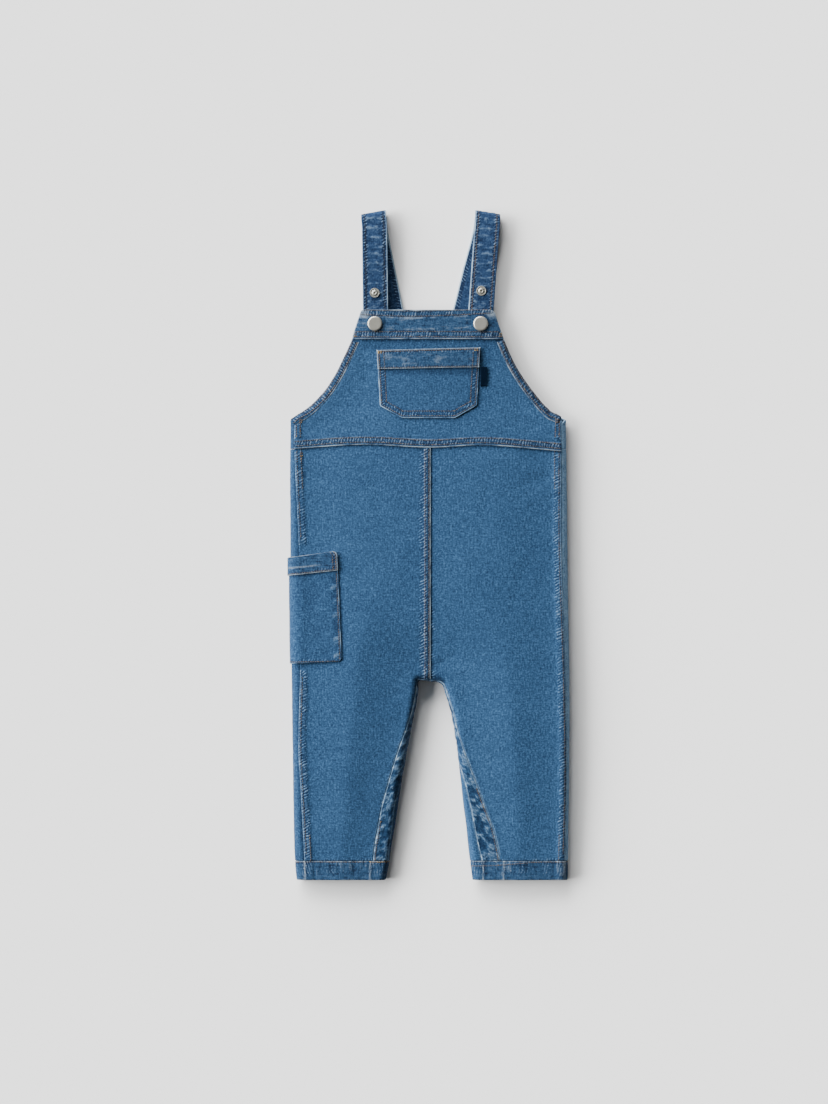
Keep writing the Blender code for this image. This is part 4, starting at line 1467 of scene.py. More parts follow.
@dataclass
class BackBib(Cloth):
    """The back yoke: rolls down from both side seams and is cut in to the base of the straps."""

    node: str = "back_bib"
    side_columns: int = 14
    floor_columns: int = 44

    def across(self) -> Array:
        """Numbers of the columns."""
        return np.arange(2 * self.side_columns + self.floor_columns + 1, dtype=float)

    def along(self) -> Array:
        """Heights of the rows.

        Returns:
            The rows' positions.
        """
        low, middle, high = BACK_SIDES[0], 459, BACK_ARMHOLES.rows[-1, 0]
        sides, armholes = np.arange(low + 4, middle, 2.4), np.arange(middle, high - 1, 1.3)
        return np.concatenate([low + np.array(EDGE), sides, armholes, high - np.array((0.7, 0.3, 0.0))])

    def key_row(self, up: float, is_armhole: bool) -> Array:
        """One row of the yoke.

        Args:
            up: Height of the row.
            is_armhole: Whether the row ends at the armholes.

        Returns:
            Its points from left to right.
        """
        t = np.linspace(0, 1, self.side_columns + 1)
        parts = []
        for side in Side:
            edge_x, seam = SKIN.side_seam(side, up)
            edge = SKIN.girth(BACK_ARMHOLES.read(side.value, up), up) if is_armhole else seam - HALF_GAP
            down = min(-SKIN.quarter(up), edge - 1.5)
            parts.append(SKIN.rim(edge_x, up, side.inward, mix(edge, down, t)))
        left, right = parts
        floor = mix(left[-1], right[-1], np.linspace(0, 1, self.floor_columns + 1)[1:-1, None])
        return np.vstack([left, floor, right[::-1]])

    def surface(self, u: Array, v: Array) -> Array:
        """The skin over the yoke.

        Args:
            u: Not used.
            v: The rows' positions.

        Returns:
            The grid of points.
        """
        armholes = BACK_ARMHOLES.rows[:, 0]
        keys = [*BACK_SIDES, *armholes]
        return through_rows(keys, [self.key_row(key, key >= armholes[0]) for key in keys], v[0])

    def dress(self, lay: Lay) -> Dressing:
        """Soft troughs underneath, darker sewn edges, painted light on the right end and painted shade on the
        left end.

        Args:
            lay: Where the points lie.

        Returns:
            What is added to the plain layer.
        """
        ends = np.minimum(lay.left, lay.right)
        wrap = 1 - smooth((lay.right - 9) / 8)
        return Dressing(
            lift=-under_troughs(lay),
            # painted light: the right end's wrap is made pale, as it lies in shade
            pale=0.4 * line(ends - 0.4, 0.8) + 0.4 * line(lay.head - 0.4, 0.8) + 0.85 * wrap,
            dark=0.3 * within(ends, 1.2, 6.0, 1.5) * (1 - wrap) + 0.3 * within(lay.head, 1.2, 6.0, 1.5)
            # painted shade: the left end, which faces the light, is darkened
            + 0.6 * line(lay.left - 0.2, 0.9) + 0.35 * (1 - smooth((lay.left - 5) / 4)),
        )


@dataclass
class Gusset(Cloth):
    """An inside-leg insert of crinkled denim, from the front seam over and under the side."""

    node: str = "gusset_{}"
    slot: str = "gusset_denim"
    core: Pair = (70.0, 3.0)
    weave: str = "left foot"
    column_grade: Grade = (24, (0.0, 0.35, 0.8, 1.5), (0.0, 0.35, 0.8, 1.5), 1.15)
    crinkle: float = 0.62

    def along(self) -> Array:
        """Heights of the rows' outer ends.

        Returns:
            The rows' positions.
        """
        middle, last = 186, LEGS[self.side].rows[-1, 0]
        leg, crotch = np.arange(HEM_ROW + 2, middle, 1.6), np.arange(middle, last + 0.01, 0.8125)
        return np.concatenate([HEM_ROW + np.array((0.0, 0.35, 0.8)), leg, crotch])

    def surface(self, u: Array, v: Array) -> Array:
        """The skin under the insert.

        Args:
            u: The columns' positions.
            v: The rows' positions.

        Returns:
            The grid of points.
        """
        leg = LEGS[self.side]
        names = ("x", "up", "inward", "front_seam", "rear_seam")
        x, up, inward, front_seam, rear_seam = (leg.read(name, v[0]) for name in names)
        front = SKIN.girth(front_seam, up) - HALF_GAP
        rear = SKIN.girth(rear_seam, up) + HALF_GAP
        return SKIN.rim(x, up, inward, mix(front, rear, u))

    def dress(self, lay: Lay) -> Dressing:
        """Strong crinkles, pale on their tops and dark in their hollows, with painted light up the left
        gusset.

        Args:
            lay: Where the points lie.

        Returns:
            What is added to the plain layer.
        """
        grain, broad = Grain(51 + self.side.sign), Grain(57 + self.side.sign)
        ends = np.minimum(lay.left, lay.right)
        crinkle = grain.rough(lay.left / 4.2 + lay.foot / 13, lay.foot / 3.8 - lay.left / 8)
        crinkle = 0.9 * crinkle + 0.35 * broad.at(lay.left / 9, lay.foot / 11)
        free = smooth(ends / 2.2 + 0.25)
        above_floor = smooth(lay.z / 3.0)
        wisp = line(crinkle - 0.16, 0.11) * (0.75 + 0.5 * broad.at(lay.left / 5, lay.foot / 7))
        # painted light: the left gusset is made paler and less dark going up, where it faces away from the
        # light
        rise = smooth((lay.up - 80) / 70) if self.side is Side.LEFT else 0.0
        return Dressing(
            lift=self.crinkle * np.minimum(crinkle, 0.6) * free * above_floor,
            pale=1.05 * wisp + 1.0 * over(crinkle, 0.2) + 0.8 * line(ends - 0.45, 0.6) + 0.28 * rise,
            dark=1.8 * over(-crinkle, 0.02) * (1 - 0.5 * rise) + 0.3 * (1 - rise),
            sewn=-0.3 * over(crinkle),
        )


@dataclass
class LegHem(Cloth):
    """The turned hem: a doubled band all round the end of a leg."""

    node: str = "leg_hem_{}"
    slot: str = "seam_denim"
    core: Pair = (88.0, 6.0)
    weave: str = "around up"
    row_grade: Grade = (HEM_HEIGHT, (0.0, 0.2, 0.5, 1.0, 1.8), (0.0, 0.3, 0.7, 1.1, 1.7, 2.4), 1.2)
    wall: float = 2 * CLOTH
    closed: bool = True
    borders: str = "foot head"
    border_roll: float = 0.9
    top_columns: int = 58
    side_columns: int = 13
    floor_columns: int = 34
    pucker: float = 0.34

    def across(self) -> Array:
        """Numbers of the columns, once round."""
        return np.arange(self.top_columns + self.floor_columns + 2 * self.side_columns + 1, dtype=float)

    def surface(self, u: Array, v: Array) -> Array:
        """The skin under the band: along the floor, up the inside, over the top and down.

        Args:
            u: Not used.
            v: The rows' positions.

        Returns:
            The grid of points.
        """
        up = v[0] * HEM_HEIGHT
        outer_x = SIDE_EDGES.read(self.side.value, up)
        first = LEGS[self.side].rows[0]
        inner_x = mix(HEM_INSIDE[self.side], first[1], up / first[0])
        quarter, bulge, sign = SKIN.quarter(up), SECTIONS.read("bulge", up), self.side.sign
        rows = (outer_x, inner_x, quarter, bulge, up)
        outer_x, inner_x, quarter, bulge, up = (value[None] for value in rows)
        counts = (self.floor_columns, self.top_columns, self.side_columns)
        floor_t, top_t, side_t = (np.linspace(0, 1, count + 1)[:-1, None] for count in counts)
        floor_x = mix(outer_x - sign * bulge, inner_x + sign * bulge, floor_t)
        floor = np.stack([floor_x, np.broadcast_to(up, floor_x.shape), np.zeros(floor_x.shape)], axis=-1)
        inside = SKIN.rim(inner_x, up, 90 - 90 * sign, mix(-quarter, quarter, side_t))
        top_x = mix(inner_x + sign * bulge, outer_x - sign * bulge, top_t)
        top = SKIN.on_top(top_x, np.broadcast_to(up, top_x.shape))
        outside = SKIN.rim(outer_x, up, 90 + 90 * sign, mix(quarter, -quarter, side_t))
        return np.concatenate([floor, inside, top, outside, floor[:1]], axis=0)

    def dress(self, lay: Lay) -> Dressing:
        """Puckers that run up and down from the stitches, a worn edge, and painted shade just right of the
        inner seams.

        Args:
            lay: Where the points lie.

        Returns:
            What is added to the plain layer.
        """
        grain, fine = Grain(61 + self.side.sign), Grain(67)
        around = lay.around
        seamless = smooth((0.5 - 0.5 * np.cos(2 * np.pi * np.clip(around / around[-1:], 0, 1))) * 40)
        lean = 0.035 * lay.foot * fine.at(around / 24, 5.0)
        ruck = grain.rough(around / 2.6 + lean, lay.foot / 15) * within(lay.head, 1.2, 13, 5.0) * seamless
        ticks = fine.rough(around / 2.0, lay.foot / 5) * within(lay.head, 0.2, 1.8, 1.0) * seamless
        side_x = lay.x - SIDE_SEAMS.read(self.side.value, lay.up)
        above = smooth((lay.z - 6) / 3)
        band = within(side_x * -self.side.sign, -1.0, 7.5, 1.2) * above
        seam = line(side_x, 0.8) * above
        above_floor = smooth(lay.z / 2.5)
        row = line(lay.head - 1.1, 0.7)
        inner = lines(lay.x, INNER_SEAMS[self.side], 0.7)
        # painted shade: hollow darkens a line just right of each inner seam ridge
        hollow = sum(line(lay.x - x - 1.7, 0.9) for x in INNER_SEAMS[self.side])
        relief = self.pucker * ruck + 0.22 * ticks + 0.35 * band - 0.2 * row + 0.3 * inner
        return Dressing(
            lift=relief * above_floor,
            pale=0.8 * over(ruck, 0.16) + 0.5 * over(ticks) + 0.5 * line(lay.head - 0.3, 0.5)
            + 1.1 * seam + 0.9 * inner
            + 0.5 * line(lay.foot - 0.6, 0.9) * (0.5 + 0.5 * fine.at(around / 5, 0.0)),
            dark=0.75 * over(-ruck) + 0.35 * row + 0.06 + 0.5 * hollow
            + 0.5 * line(side_x * -self.side.sign - 1.8, 0.9) * band,
            sewn=0.2 * band
            + 0.5 * within(lay.head, 0.4, 12.0, 4.0) * (0.55 + 0.45 * fine.at(around / 9, 3.0)),
        )


BIB_STEPS = (0.0, 0.3, 0.7, 1.2, 1.9, 2.7, 3.6, 4.6, 5.6, 6.6, 7.8, 9.2)


def bib_edge(side: Side, up: Array, corner: float = 0.0, under: bool = False) -> Array:
    """The bib's edge, with its top corner rounded.

    Args:
        side: The side of the bib.
        up: Heights along it.
        corner: Radius of the top corner.
        under: Whether the lowest part ends at the side seam of the panel.

    Returns:
        How far across the edge is.
    """
    edge = BIB_EDGES.read(side.value, up)
    if under:
        widest, seam = SKIN.side_seam(side, up)
        low = SKIN.rim(widest, up, side.inward, seam + HALF_GAP)[..., 0]
        edge = mix(low, edge, np.clip((up - 456.0) / 5.5, 0, 1))
    if corner:
        left = np.clip(corner - (BIB_TOP - up), 0, corner)
        edge = edge - side.sign * (corner - np.sqrt(corner**2 - left**2))
    return edge


CORNERS = {Side.LEFT: 2.2, Side.RIGHT: 4.6}


@dataclass
class BibPanel(Cloth):
    """The front bib, from the waist seam to its top edge."""

    node: str = "bib_panel"
    column_grade: Grade = (230, BIB_STEPS, BIB_STEPS, 2.5)
    trims: Names = ("waist_seam_cloth", "armhole_hem_left_cloth", "armhole_hem_right_cloth")
    side_band: PuckeredBand = PuckeredBand(
        reach=7.0, bulk=0.5, pucker=0.28, rows=(2.2, 6.0), pitch=3.0, edge_pale=1.15, close=0.8, seed=71
    )
    start: float = BACK_WAIST
    joined: float = 445.0

    def along(self) -> Array:
        """Heights of the rows.

        Returns:
            The rows' positions.
        """
        low, high = self.start + np.array((0.0, 0.5, 1.2, 2.2)), BIB_TOP - np.array(EDGE)[::-1]
        waist, bib = np.arange(low[-1] + 2, self.joined - 1, 2.0), np.arange(self.joined, BIB_TOP - 3, 1.9)
        return np.concatenate([low, waist, bib, high])

    def surface(self, u: Array, v: Array) -> Array:
        """The skin under the bib.

        Args:
            u: The columns' positions.
            v: The rows' positions.

        Returns:
            The grid of points.
        """
        up = v[0]
        left, right = (bib_edge(side, np.maximum(up, self.start), CORNERS[side], under=True) for side in Side)
        x = mix(left, right, u)
        rise = np.clip((v - self.start) / (self.joined - self.start), 0, 1)
        foot = waist_height(x) + WAIST_JOIN + SEAM_GAP
        return SKIN.on_top(x, np.where(rise < 1, mix(foot, self.joined, rise), v))

    def dress(self, lay: Lay) -> Dressing:
        """Sewn side seams under the armholes, soft pulls round what is sewn on, and painted shade below the
        band.

        Args:
            lay: Where the points lie.

        Returns:
            What is added to the plain layer.
        """
        grain = Grain(75)
        sides = 1 - smooth((lay.up - 458) / 4)
        clear = smooth((lay.foot - 4.2) / 3.0) * sides
        left = self.side_band.dress(lay.left, lay.up).times(clear)
        right = self.side_band.dress(lay.right, lay.up).times(clear)
        covered = smooth((lay.head - 30) / 4)
        pull = grain.rough(lay.x / 4.0, lay.up / 12)
        under_band = within(lay.up, 528, 537, 3.0)
        over_waist = within(lay.foot, 4.4, 8.0, 3.0)
        pulled = under_band + over_waist
        return left.plus(right).plus(Dressing(
            lift=(0.10 * grain.rough(lay.x / 10, lay.up / 9) + 0.12 * pull * pulled) * covered,
            pale=0.25 * over(pull) * pulled,
            # painted shade: the terms on lay.up darken the bib just below the band's lower edge
            dark=0.3 * line(lay.up - 538.6, 1.6) + 0.25 * line(lay.foot - 4.4, 1.2)
            + 0.24 * within(lay.up, 531, 538, 3.0) + 0.07,
            sewn=0.25 * line(lay.up - 537.5, 2.5),
        ))


def ticks_between(
    along: Array, away: Array, low: float, high: float, grain: Grain, pitch: float = 2.5, lean: float = 0.12
) -> Array:
    """Makes short puckers that cross from one row of stitches to the next.

    Args:
        along: Distances along the rows.
        away: Distances from the border.
        low: Distance where the puckers start.
        high: Distance where they end.
        grain: Their unevenness.
        pitch: Their usual width.
        lean: How far they slant.

    Returns:
        Their relief, between -1 and 1.
    """
    return grain.rough(along / pitch + away * lean, away / 8.0) * within(away, low, high, 0.9)


@dataclass
class Applied(Cloth):
    """A piece that is sewn on top of another, with low edges."""

    slot: str = "seam_denim"
    outer: float = ON_TOP
    wall: float = TRIM + 0.3
    edge_drop: float = 1.4


@dataclass
class BibBand(Applied):
    """The doubled band across the top of the bib."""

    node: str = "bib_band"
    column_grade: Grade = (150, EDGE[:4], EDGE[:4], 1.25)
    rests_on: Names = ("bib_panel_cloth",)
    head_rows: Pair = (1.5, 6.7)
    foot_rows: Pair = (2.3, 7.5)
    pucker: float = 0.30

    def along(self) -> Array:
        """Heights of the rows."""
        height = BIB_TOP - BAND_FOOT
        return BAND_FOOT + height * graded(height, NARROW, NARROW, 0.95)

    def surface(self, u: Array, v: Array) -> Array:
        """The skin under the band."""
        left, right = (bib_edge(side, v[0], CORNERS[side]) for side in Side)
        return SKIN.on_top(mix(left, right, u), v)

    def dress(self, lay: Lay) -> Dressing:
        """Twin-stitched edges with puckers between the rows, and a smooth strip with streaks of painted satin
        sheen.

        Args:
            lay: Where the points lie.

        Returns:
            What is added to the plain layer.
        """
        grain, fine, broad = Grain(81), Grain(82), Grain(83)
        x = lay.x
        head = ticks_between(x, lay.head, self.head_rows[0] + 0.3, self.head_rows[1] + 0.6, grain)
        foot = ticks_between(x, lay.foot, self.foot_rows[0] - 0.5, self.foot_rows[1] + 0.8, fine)
        # painted sheen: satin-like pale streaks along the middle of the band, darker between them
        painted_sheen_strip = within(lay.head, 8.2, 20.0, 1.6)
        streak = broad.rough(x / 13, lay.up / 2.4) * painted_sheen_strip
        rows = lines(lay.head, self.head_rows, 0.85) + lines(lay.foot, self.foot_rows, 0.85)
        frayed = np.clip(0.45 + 0.9 * fine.rough(x / 4.5, 9.0), 0, 1.2)
        frayed = frayed * (line(lay.head - 8.5, 0.8) + 1.1 * line(lay.head - 19.8, 0.8))
        corner = line(np.minimum(np.hypot(x + 64, lay.up - 565.3), np.hypot(x - 63, lay.up - 565.3)), 6.5)
        edge = line(lay.head - 0.5, 0.7) + 0.9 * line(lay.foot - 0.4, 0.6)
        patchy = 0.7 + 0.5 * broad.at(x / 7, 4.0)
        return Dressing(
            lift=self.pucker * (head + foot) - 0.18 * rows + 0.10 * streak,
            pale=0.35 * over(head + foot, 0.05) + 1.45 * edge * patchy + 0.6 * over(streak, 0.08)
            + 0.55 * corner + 0.6 * frayed + 0.8 * line(np.minimum(lay.left, lay.right) - 0.4, 0.6),
            dark=0.5 * over(-(head + foot), 0.05) + 0.9 * rows + 0.6 * over(-streak, 0.05) + 0.04,
            sewn=0.8 * within(lay.head, 1.4, 6.6, 0.7) + 0.8 * within(lay.foot, 2.2, 7.4, 0.7),
        )


@dataclass
class ArmholeHem(Applied):
    """The turned edge of the bib along one armhole."""

    node: str = "armhole_hem_{}"
    wall: float = TRIM
    rests_on: Names = ("bib_panel_cloth",)
    edge_drop: float = 1.6
    is_trim: bool = True
    weave: str = "foot left"
    width: float = 7.5
    column_grade: Grade = (width, (*NARROW, 1.7, 2.3), (0.0, 0.35, 0.8, 1.2, 1.6), 0.8)
    row_grade: Grade = (118, FINE, FINE, 1.15)
    ease: float = 0.6
    ease_rows: int = 6
    rows: Pair = (1.7, 6.0)
    pucker: float = 0.26

    def surface(self, u: Array, v: Array) -> Array:
        """The skin under the hem.

        Args:
            u: The columns' positions.
            v: The rows' positions.

        Returns:
            The grid of points.
        """
        heights = BIB_EDGES.column("up")
        heights = np.append(heights[(heights > BIB_START) & (heights < BAND_FOOT)], BAND_FOOT - SEAM_GAP)
        points = np.stack([BIB_EDGES.read(self.side.value, heights), heights], axis=1)
        if self.side is Side.LEFT:
            points = np.vstack([(-137.6, 459.2), points])
        lengths = run_lengths(points)
        at = v[0] * lengths[-1]
        edge = curve(lengths, points, at)
        way = unit(np.gradient(edge, axis=0))
        inward = np.stack([way[:, 1], -way[:, 0]], axis=1) * -self.side.sign
        spot = edge + inward * (self.width * u)[..., None]
        spot = SKIN.on_top(spot[..., 0], np.minimum(spot[..., 1], heights[-1]))
        ease = np.interp(at, lengths[: self.ease_rows + 1], self.ease * np.linspace(1, 0, self.ease_rows + 1))
        spot[..., 2] += ease * (1 - u)
        return spot

    def dress(self, lay: Lay) -> Dressing:
        """Two stitched rows with puckers between them, and a low inner edge.

        Args:
            lay: Where the points lie.

        Returns:
            What is added to the plain layer.
        """
        grain, broad = Grain(91 + self.side.sign), Grain(95)
        along = lay.foot[:1] + 0 * lay.foot
        ticks = ticks_between(along, lay.left, 1.2, 6.4, grain, pitch=2.9, lean=0.16)
        rows = lines(lay.left, self.rows, 0.85)
        pressed = 1 - smooth(lay.right / 4.6)
        patchy = 0.7 + 0.5 * broad.at(along / 8, 2.0)
        return Dressing(
            lift=self.pucker * ticks * (1 - 0.6 * pressed) - 0.15 * rows - 1.1 * pressed,
            thick=0.3 - 0.95 * pressed,
            pale=0.35 * over(ticks, 0.08)
            + (0.9 * line(lay.left - 0.5, 0.5) + 1.35 * line(lay.right - 0.5, 0.5)) * patchy,
            dark=0.4 * over(-ticks, 0.05) + 0.85 * rows + 0.26,
            sewn=0.8 * within(lay.left, 1.2, 6.2, 0.8),
        )


@dataclass
class WaistSeam(Applied):
    """The felled strip that joins the bib to the trousers."""

    node: str = "waist_seam"
    rests_on: Names = ("bib_panel_cloth", "front_leg_left_cloth", "front_leg_right_cloth")
    is_trim: bool = True
    height: float = 9.0
    column_grade: Grade = (267, FINE, FINE, 1.35)
    row_grade: Grade = (height, (*NARROW, 1.8), (0.0, 0.35, 0.8, 1.3, 1.8), 0.75)
    rows: Pair = (2.7, 7.4)
    pucker: float = 0.28

    def surface(self, u: Array, v: Array) -> Array:
        """The skin under the strip.

        Args:
            u: The columns' positions.
            v: The rows' positions.

        Returns:
            The grid of points.
        """
        left, right = BIB_EDGES.rows[0, 1:]
        x = mix(left, right, u)
        return SKIN.on_top(x, waist_height(x) + self.height * v)

    def dress(self, lay: Lay) -> Dressing:
        """Twin stitches with puckers, a worn lower edge and a low upper one.

        Args:
            lay: Where the points lie.

        Returns:
            What is added to the plain layer.
        """
        grain, broad = Grain(101), Grain(102)
        ticks = ticks_between(lay.x, lay.foot, 2.0, 7.2, grain, pitch=2.9, lean=0.2)
        rows = lines(lay.foot, self.rows, 0.9)
        taper = 1 - smooth(lay.head / 1.3)
        ridge = line(lay.head - 1.0, 0.7)
        patchy = 0.7 + 0.5 * broad.at(lay.x / 8, 2.0)
        return Dressing(
            lift=self.pucker * ticks - 0.16 * rows - 0.85 * taper,
            thick=-0.6 * taper,
            pale=0.3 * over(ticks, 0.08) + 1.7 * line(lay.foot - 0.45, 0.5) * patchy + 0.35 * ridge * patchy,
            dark=0.3 * over(-ticks, 0.05) + 0.9 * rows + 0.12,
            sewn=0.9 * within(lay.foot, 2.6, 7.4, 0.7),
        )


@dataclass
class CentreSeam(Applied):
    """The felled strip down the centre front, from the waist seam to the crotch."""

    node: str = "centre_seam"
    wall: float = TRIM
    rests_on: Names = ("front_leg_left_cloth",)
    is_trim: bool = True
    width: float = 7.0
    column_grade: Grade = (width, (*NARROW, 1.7), (*NARROW, 1.7), 0.75)
    row_grade: Grade = (230, FINE, FINE, 1.35)
    foot: float = CROTCH + 2.0 + 1.5
    rows: Pair = (1.9, 5.9)
    pucker: float = 0.30

    def surface(self, u: Array, v: Array) -> Array:
        """The skin under the strip."""
        x = CENTRE_X + SEAM_GAP - self.width * (1 - u)
        return SKIN.on_top(x, mix(self.foot, waist_height(x) - SEAM_GAP, v))

    def dress(self, lay: Lay) -> Dressing:
        """Twin stitches with slanted puckers, stronger near the crotch.

        Args:
            lay: Where the points lie.

        Returns:
            What is added to the plain layer.
        """
        grain, broad = Grain(111), Grain(112)
        crotch = 0.7 + 0.5 * (1 - smooth((lay.up - 225) / 60))
        ticks = ticks_between(lay.up, lay.right, 0.9, 6.4, grain, pitch=3.0, lean=-0.28) * crotch
        rows = lines(lay.right, self.rows, 0.65)
        taper = 1 - smooth(lay.left / 1.2)
        pressed = 1 - smooth(lay.right / 3.0)
        patchy = 0.85 + 0.3 * broad.at(lay.up / 8, 2.0)
        return Dressing(
            lift=self.pucker * ticks - 0.16 * rows - 0.9 * taper - 0.45 * pressed,
            thick=0.3 - 0.6 * taper - 0.45 * pressed,
            pale=0.3 * over(ticks, 0.08) + 1.75 * line(lay.right - 0.55, 0.6) * patchy,
            dark=0.3 * over(-ticks, 0.05) + 0.45 * rows + 0.3
            + 0.9 * line(lay.right - self.rows[0] - 0.1, 0.9),
            sewn=-0.35 * within(lay.right, 0.9, 3.2, 0.7) - 1.3 * within(lay.right, 4.6, 7.2, 0.8),
        )


POCKET_STEPS = (0.0, 0.3, 0.75, 1.3, 2.0, 2.8, 3.7, 4.7, 5.7, 6.8, 8.0)
CHEST_EDGES = Table(
    "up left right",
    (460.7, -26.6, 25.6), (461.3, -28.0, 27.0), (466.0, -36.5, 35.3), (472.4, -47.8, 46.7),
    (473.2, -48.9, 47.8), (474.0, -49.0, 48.0), (486.0, -49.6, 48.6), (510.5, -51.0, 50.0),
    (530.0, -52.2, 51.2),
)


@dataclass
class ChestPocket(Applied):
    """The patch pocket on the bib."""

    node: str = "chest_pocket"
    slot: str = "denim"
    trims: Names = ("side_tab_cloth",)
    column_grade: Grade = (99, POCKET_STEPS, POCKET_STEPS, 1.9)
    rests_on: Names = ("bib_panel_cloth",)
    foot: float = 460.7
    head: float = 530.0
    slant: float = 0.026
    rows: Pair = (2.0, 6.8)
    pucker: float = 0.26

    def along(self) -> Array:
        """Heights of the rows.

        Returns:
            The rows' positions.
        """
        low, high = self.foot + np.array((0.0, 0.25, 0.6, 1.0, 1.5)), self.head - np.array((0.6, 0.25, 0.0))
        corners, sides = np.arange(low[-1] + 0.6, 475, 0.65), np.arange(475.4, self.head - 1, 1.7)
        return np.concatenate([low, corners, sides, high])

    def surface(self, u: Array, v: Array) -> Array:
        """The skin under the pocket.

        Args:
            u: The columns' positions.
            v: The rows' positions.

        Returns:
            The grid of points.
        """
        x = mix(CHEST_EDGES.read("left", v), CHEST_EDGES.read("right", v), u)
        low, high = CHEST_EDGES.column("up")[[0, -1]]
        return SKIN.on_top(x, v + self.slant * x * (v - low) / (high - low))

    def rim_distance(self, lay: Lay) -> Array:
        """Distance in plan from the sides and the foot of the pocket."""
        chain = np.vstack([lay.spot[0, ::-1, :2], lay.spot[1:-1, 0, :2], lay.spot[-1, :, :2]])
        return plan_distance(chain[:: max(1, len(chain) // 90)], lay.x, lay.up)

    def border_distance(self, lay: Lay) -> Array:
        """How far points are from the sides, the foot or the mouth."""
        return np.minimum(self.rim_distance(lay), lay.head)

    def dress(self, lay: Lay) -> Dressing:
        """Twin-stitched edges, darker between the rows, with puckers, a worn rim and painted shadow under the
        hem.

        Args:
            lay: Where the points lie.

        Returns:
            What is added to the plain layer.
        """
        grain, broad = Grain(121), Grain(122)
        away = self.rim_distance(lay)
        turn = np.where(lay.up < 470, lay.x * 0.9, lay.up)
        ticks = ticks_between(turn, away, 1.4, 7.4, grain, pitch=3.1, lean=0.2)
        rows = lines(away, self.rows, 0.85)
        patchy = 0.7 + 0.5 * broad.at(lay.x / 8, lay.up / 8)
        mouth = smooth((509 - lay.up) / 3)
        soft = broad.rough(lay.x / 12, lay.up / 9) * smooth((away - 8) / 6) * mouth
        return Dressing(
            lift=self.pucker * ticks * mouth - 0.16 * rows * mouth + 0.14 * soft,
            pale=0.3 * over(ticks, 0.1) + 1.7 * line(away - 0.45, 0.46) * patchy + 0.05 * over(soft),
            dark=0.6 * within(away, 1.6, 7.0, 0.8) * (0.6 + 0.4 * patchy) + 0.3 * over(-ticks, 0.05)
            # painted shadow: the term on lay.up darkens the pocket just under the hem's lower edge
            + 0.85 * rows + 0.5 * within(lay.up, 505.5, 511, 2.5) + 0.16,
            sewn=0.8 * within(away, 2.0, 6.8, 0.7) * np.where(np.abs(lay.x) > 43.5, -1.0, 1.0) * mouth,
        )


@dataclass
class ChestPocketHem(ChestPocket):
    """The turned mouth of the chest pocket."""

    node: str = "chest_pocket_hem"
    trims: Names = ()
    slot: str = "seam_denim"
    outer: float = ON_POCKET
    rests_on: Names = ("chest_pocket_cloth",)
    foot: float = 510.5

    def along(self) -> Array:
        """Heights of the rows."""
        height = self.head - self.foot
        return self.foot + height * graded(height, NARROW, (*NARROW, 1.8), 0.95)

    def border_distance(self, lay: Lay) -> Array:
        """How far points are from any border."""
        return Cloth.border_distance(self, lay)

    def dress(self, lay: Lay) -> Dressing:
        """A mottled band with stitched edges.

        Args:
            lay: Where the points lie.

        Returns:
            What is added to the plain layer.
        """
        grain, broad, fine = Grain(131), Grain(132), Grain(133)
        ends = np.minimum(lay.left, lay.right)
        head = ticks_between(lay.x, lay.head, 0.6, 3.6, grain, pitch=2.4)
        foot = ticks_between(lay.x, lay.foot, 0.4, 5.5, fine, pitch=2.8)
        mottle = broad.rough(lay.x / 8.5, lay.up / 3.4) * within(lay.head, 3.6, 14.5, 1.5)
        rows = line(lay.head - 1.8, 0.85) + line(lay.foot - 1.1, 0.85) + line(ends - 2.0, 0.85)
        return Dressing(
            lift=0.24 * (head + foot) - 0.16 * rows + 0.12 * mottle,
            pale=0.3 * over(head + foot, 0.08) + 0.5 * over(mottle, -0.06) + 0.8 * line(lay.head - 0.5, 0.5)
            + 1.3 * line(ends - 0.45, 0.46) + 1.35 * line(lay.foot - 0.3, 0.42),
            dark=0.3 * over(-(head + foot), 0.05) + 0.85 * rows + 0.5 * over(-mottle, 0.05) + 0.14,
            sewn=0.5 * within(lay.head, 2.2, 4.2, 0.7) + 0.4 * within(lay.foot, 1.6, 3.6, 1.0),
        )


@dataclass
class SideTab(Applied):
    """The bare woven tab beside the chest pocket."""

    node: str = "side_tab"
    slot: str = "woven_tape"
    border_roll: float = 0.45
    rests_on: Names = ("bib_panel_cloth",)
    is_trim: bool = True
    foot: float = 492.6
    height: float = 19.5
    ends: Pair = (51.3, 57.7)
    column_grade: Grade = (6.4, (0.0, 0.25, 0.6), (0.0, 0.25, 0.6), 0.6)
    row_grade: Grade = (height, (0.0, 0.25, 0.6), (0.0, 0.25, 0.6), 0.8)

    def surface(self, u: Array, v: Array) -> Array:
        """The skin under the tab."""
        return SKIN.on_top(mix(*self.ends, u), self.foot + self.height * v)

    def dress(self, lay: Lay) -> Dressing:
        """A fold at the free edge and a slight wave along the tab.

        Args:
            lay: Where the points lie.

        Returns:
            What is added to the plain layer.
        """
        wave = Grain(141).at(lay.up / 5, lay.x / 6)
        fold = smooth(lay.right / 0.9)
        pale = 0.5 * line(lay.right - 0.3, 0.4) + 0.2 * over(wave)
        return Dressing(lift=0.18 * wave + 0.22 * (1 - fold), pale=pale)


MOUTH_STEPS = (0.0, 0.3, 0.6, 0.9, 1.3, 1.8, 2.4, 3.1)


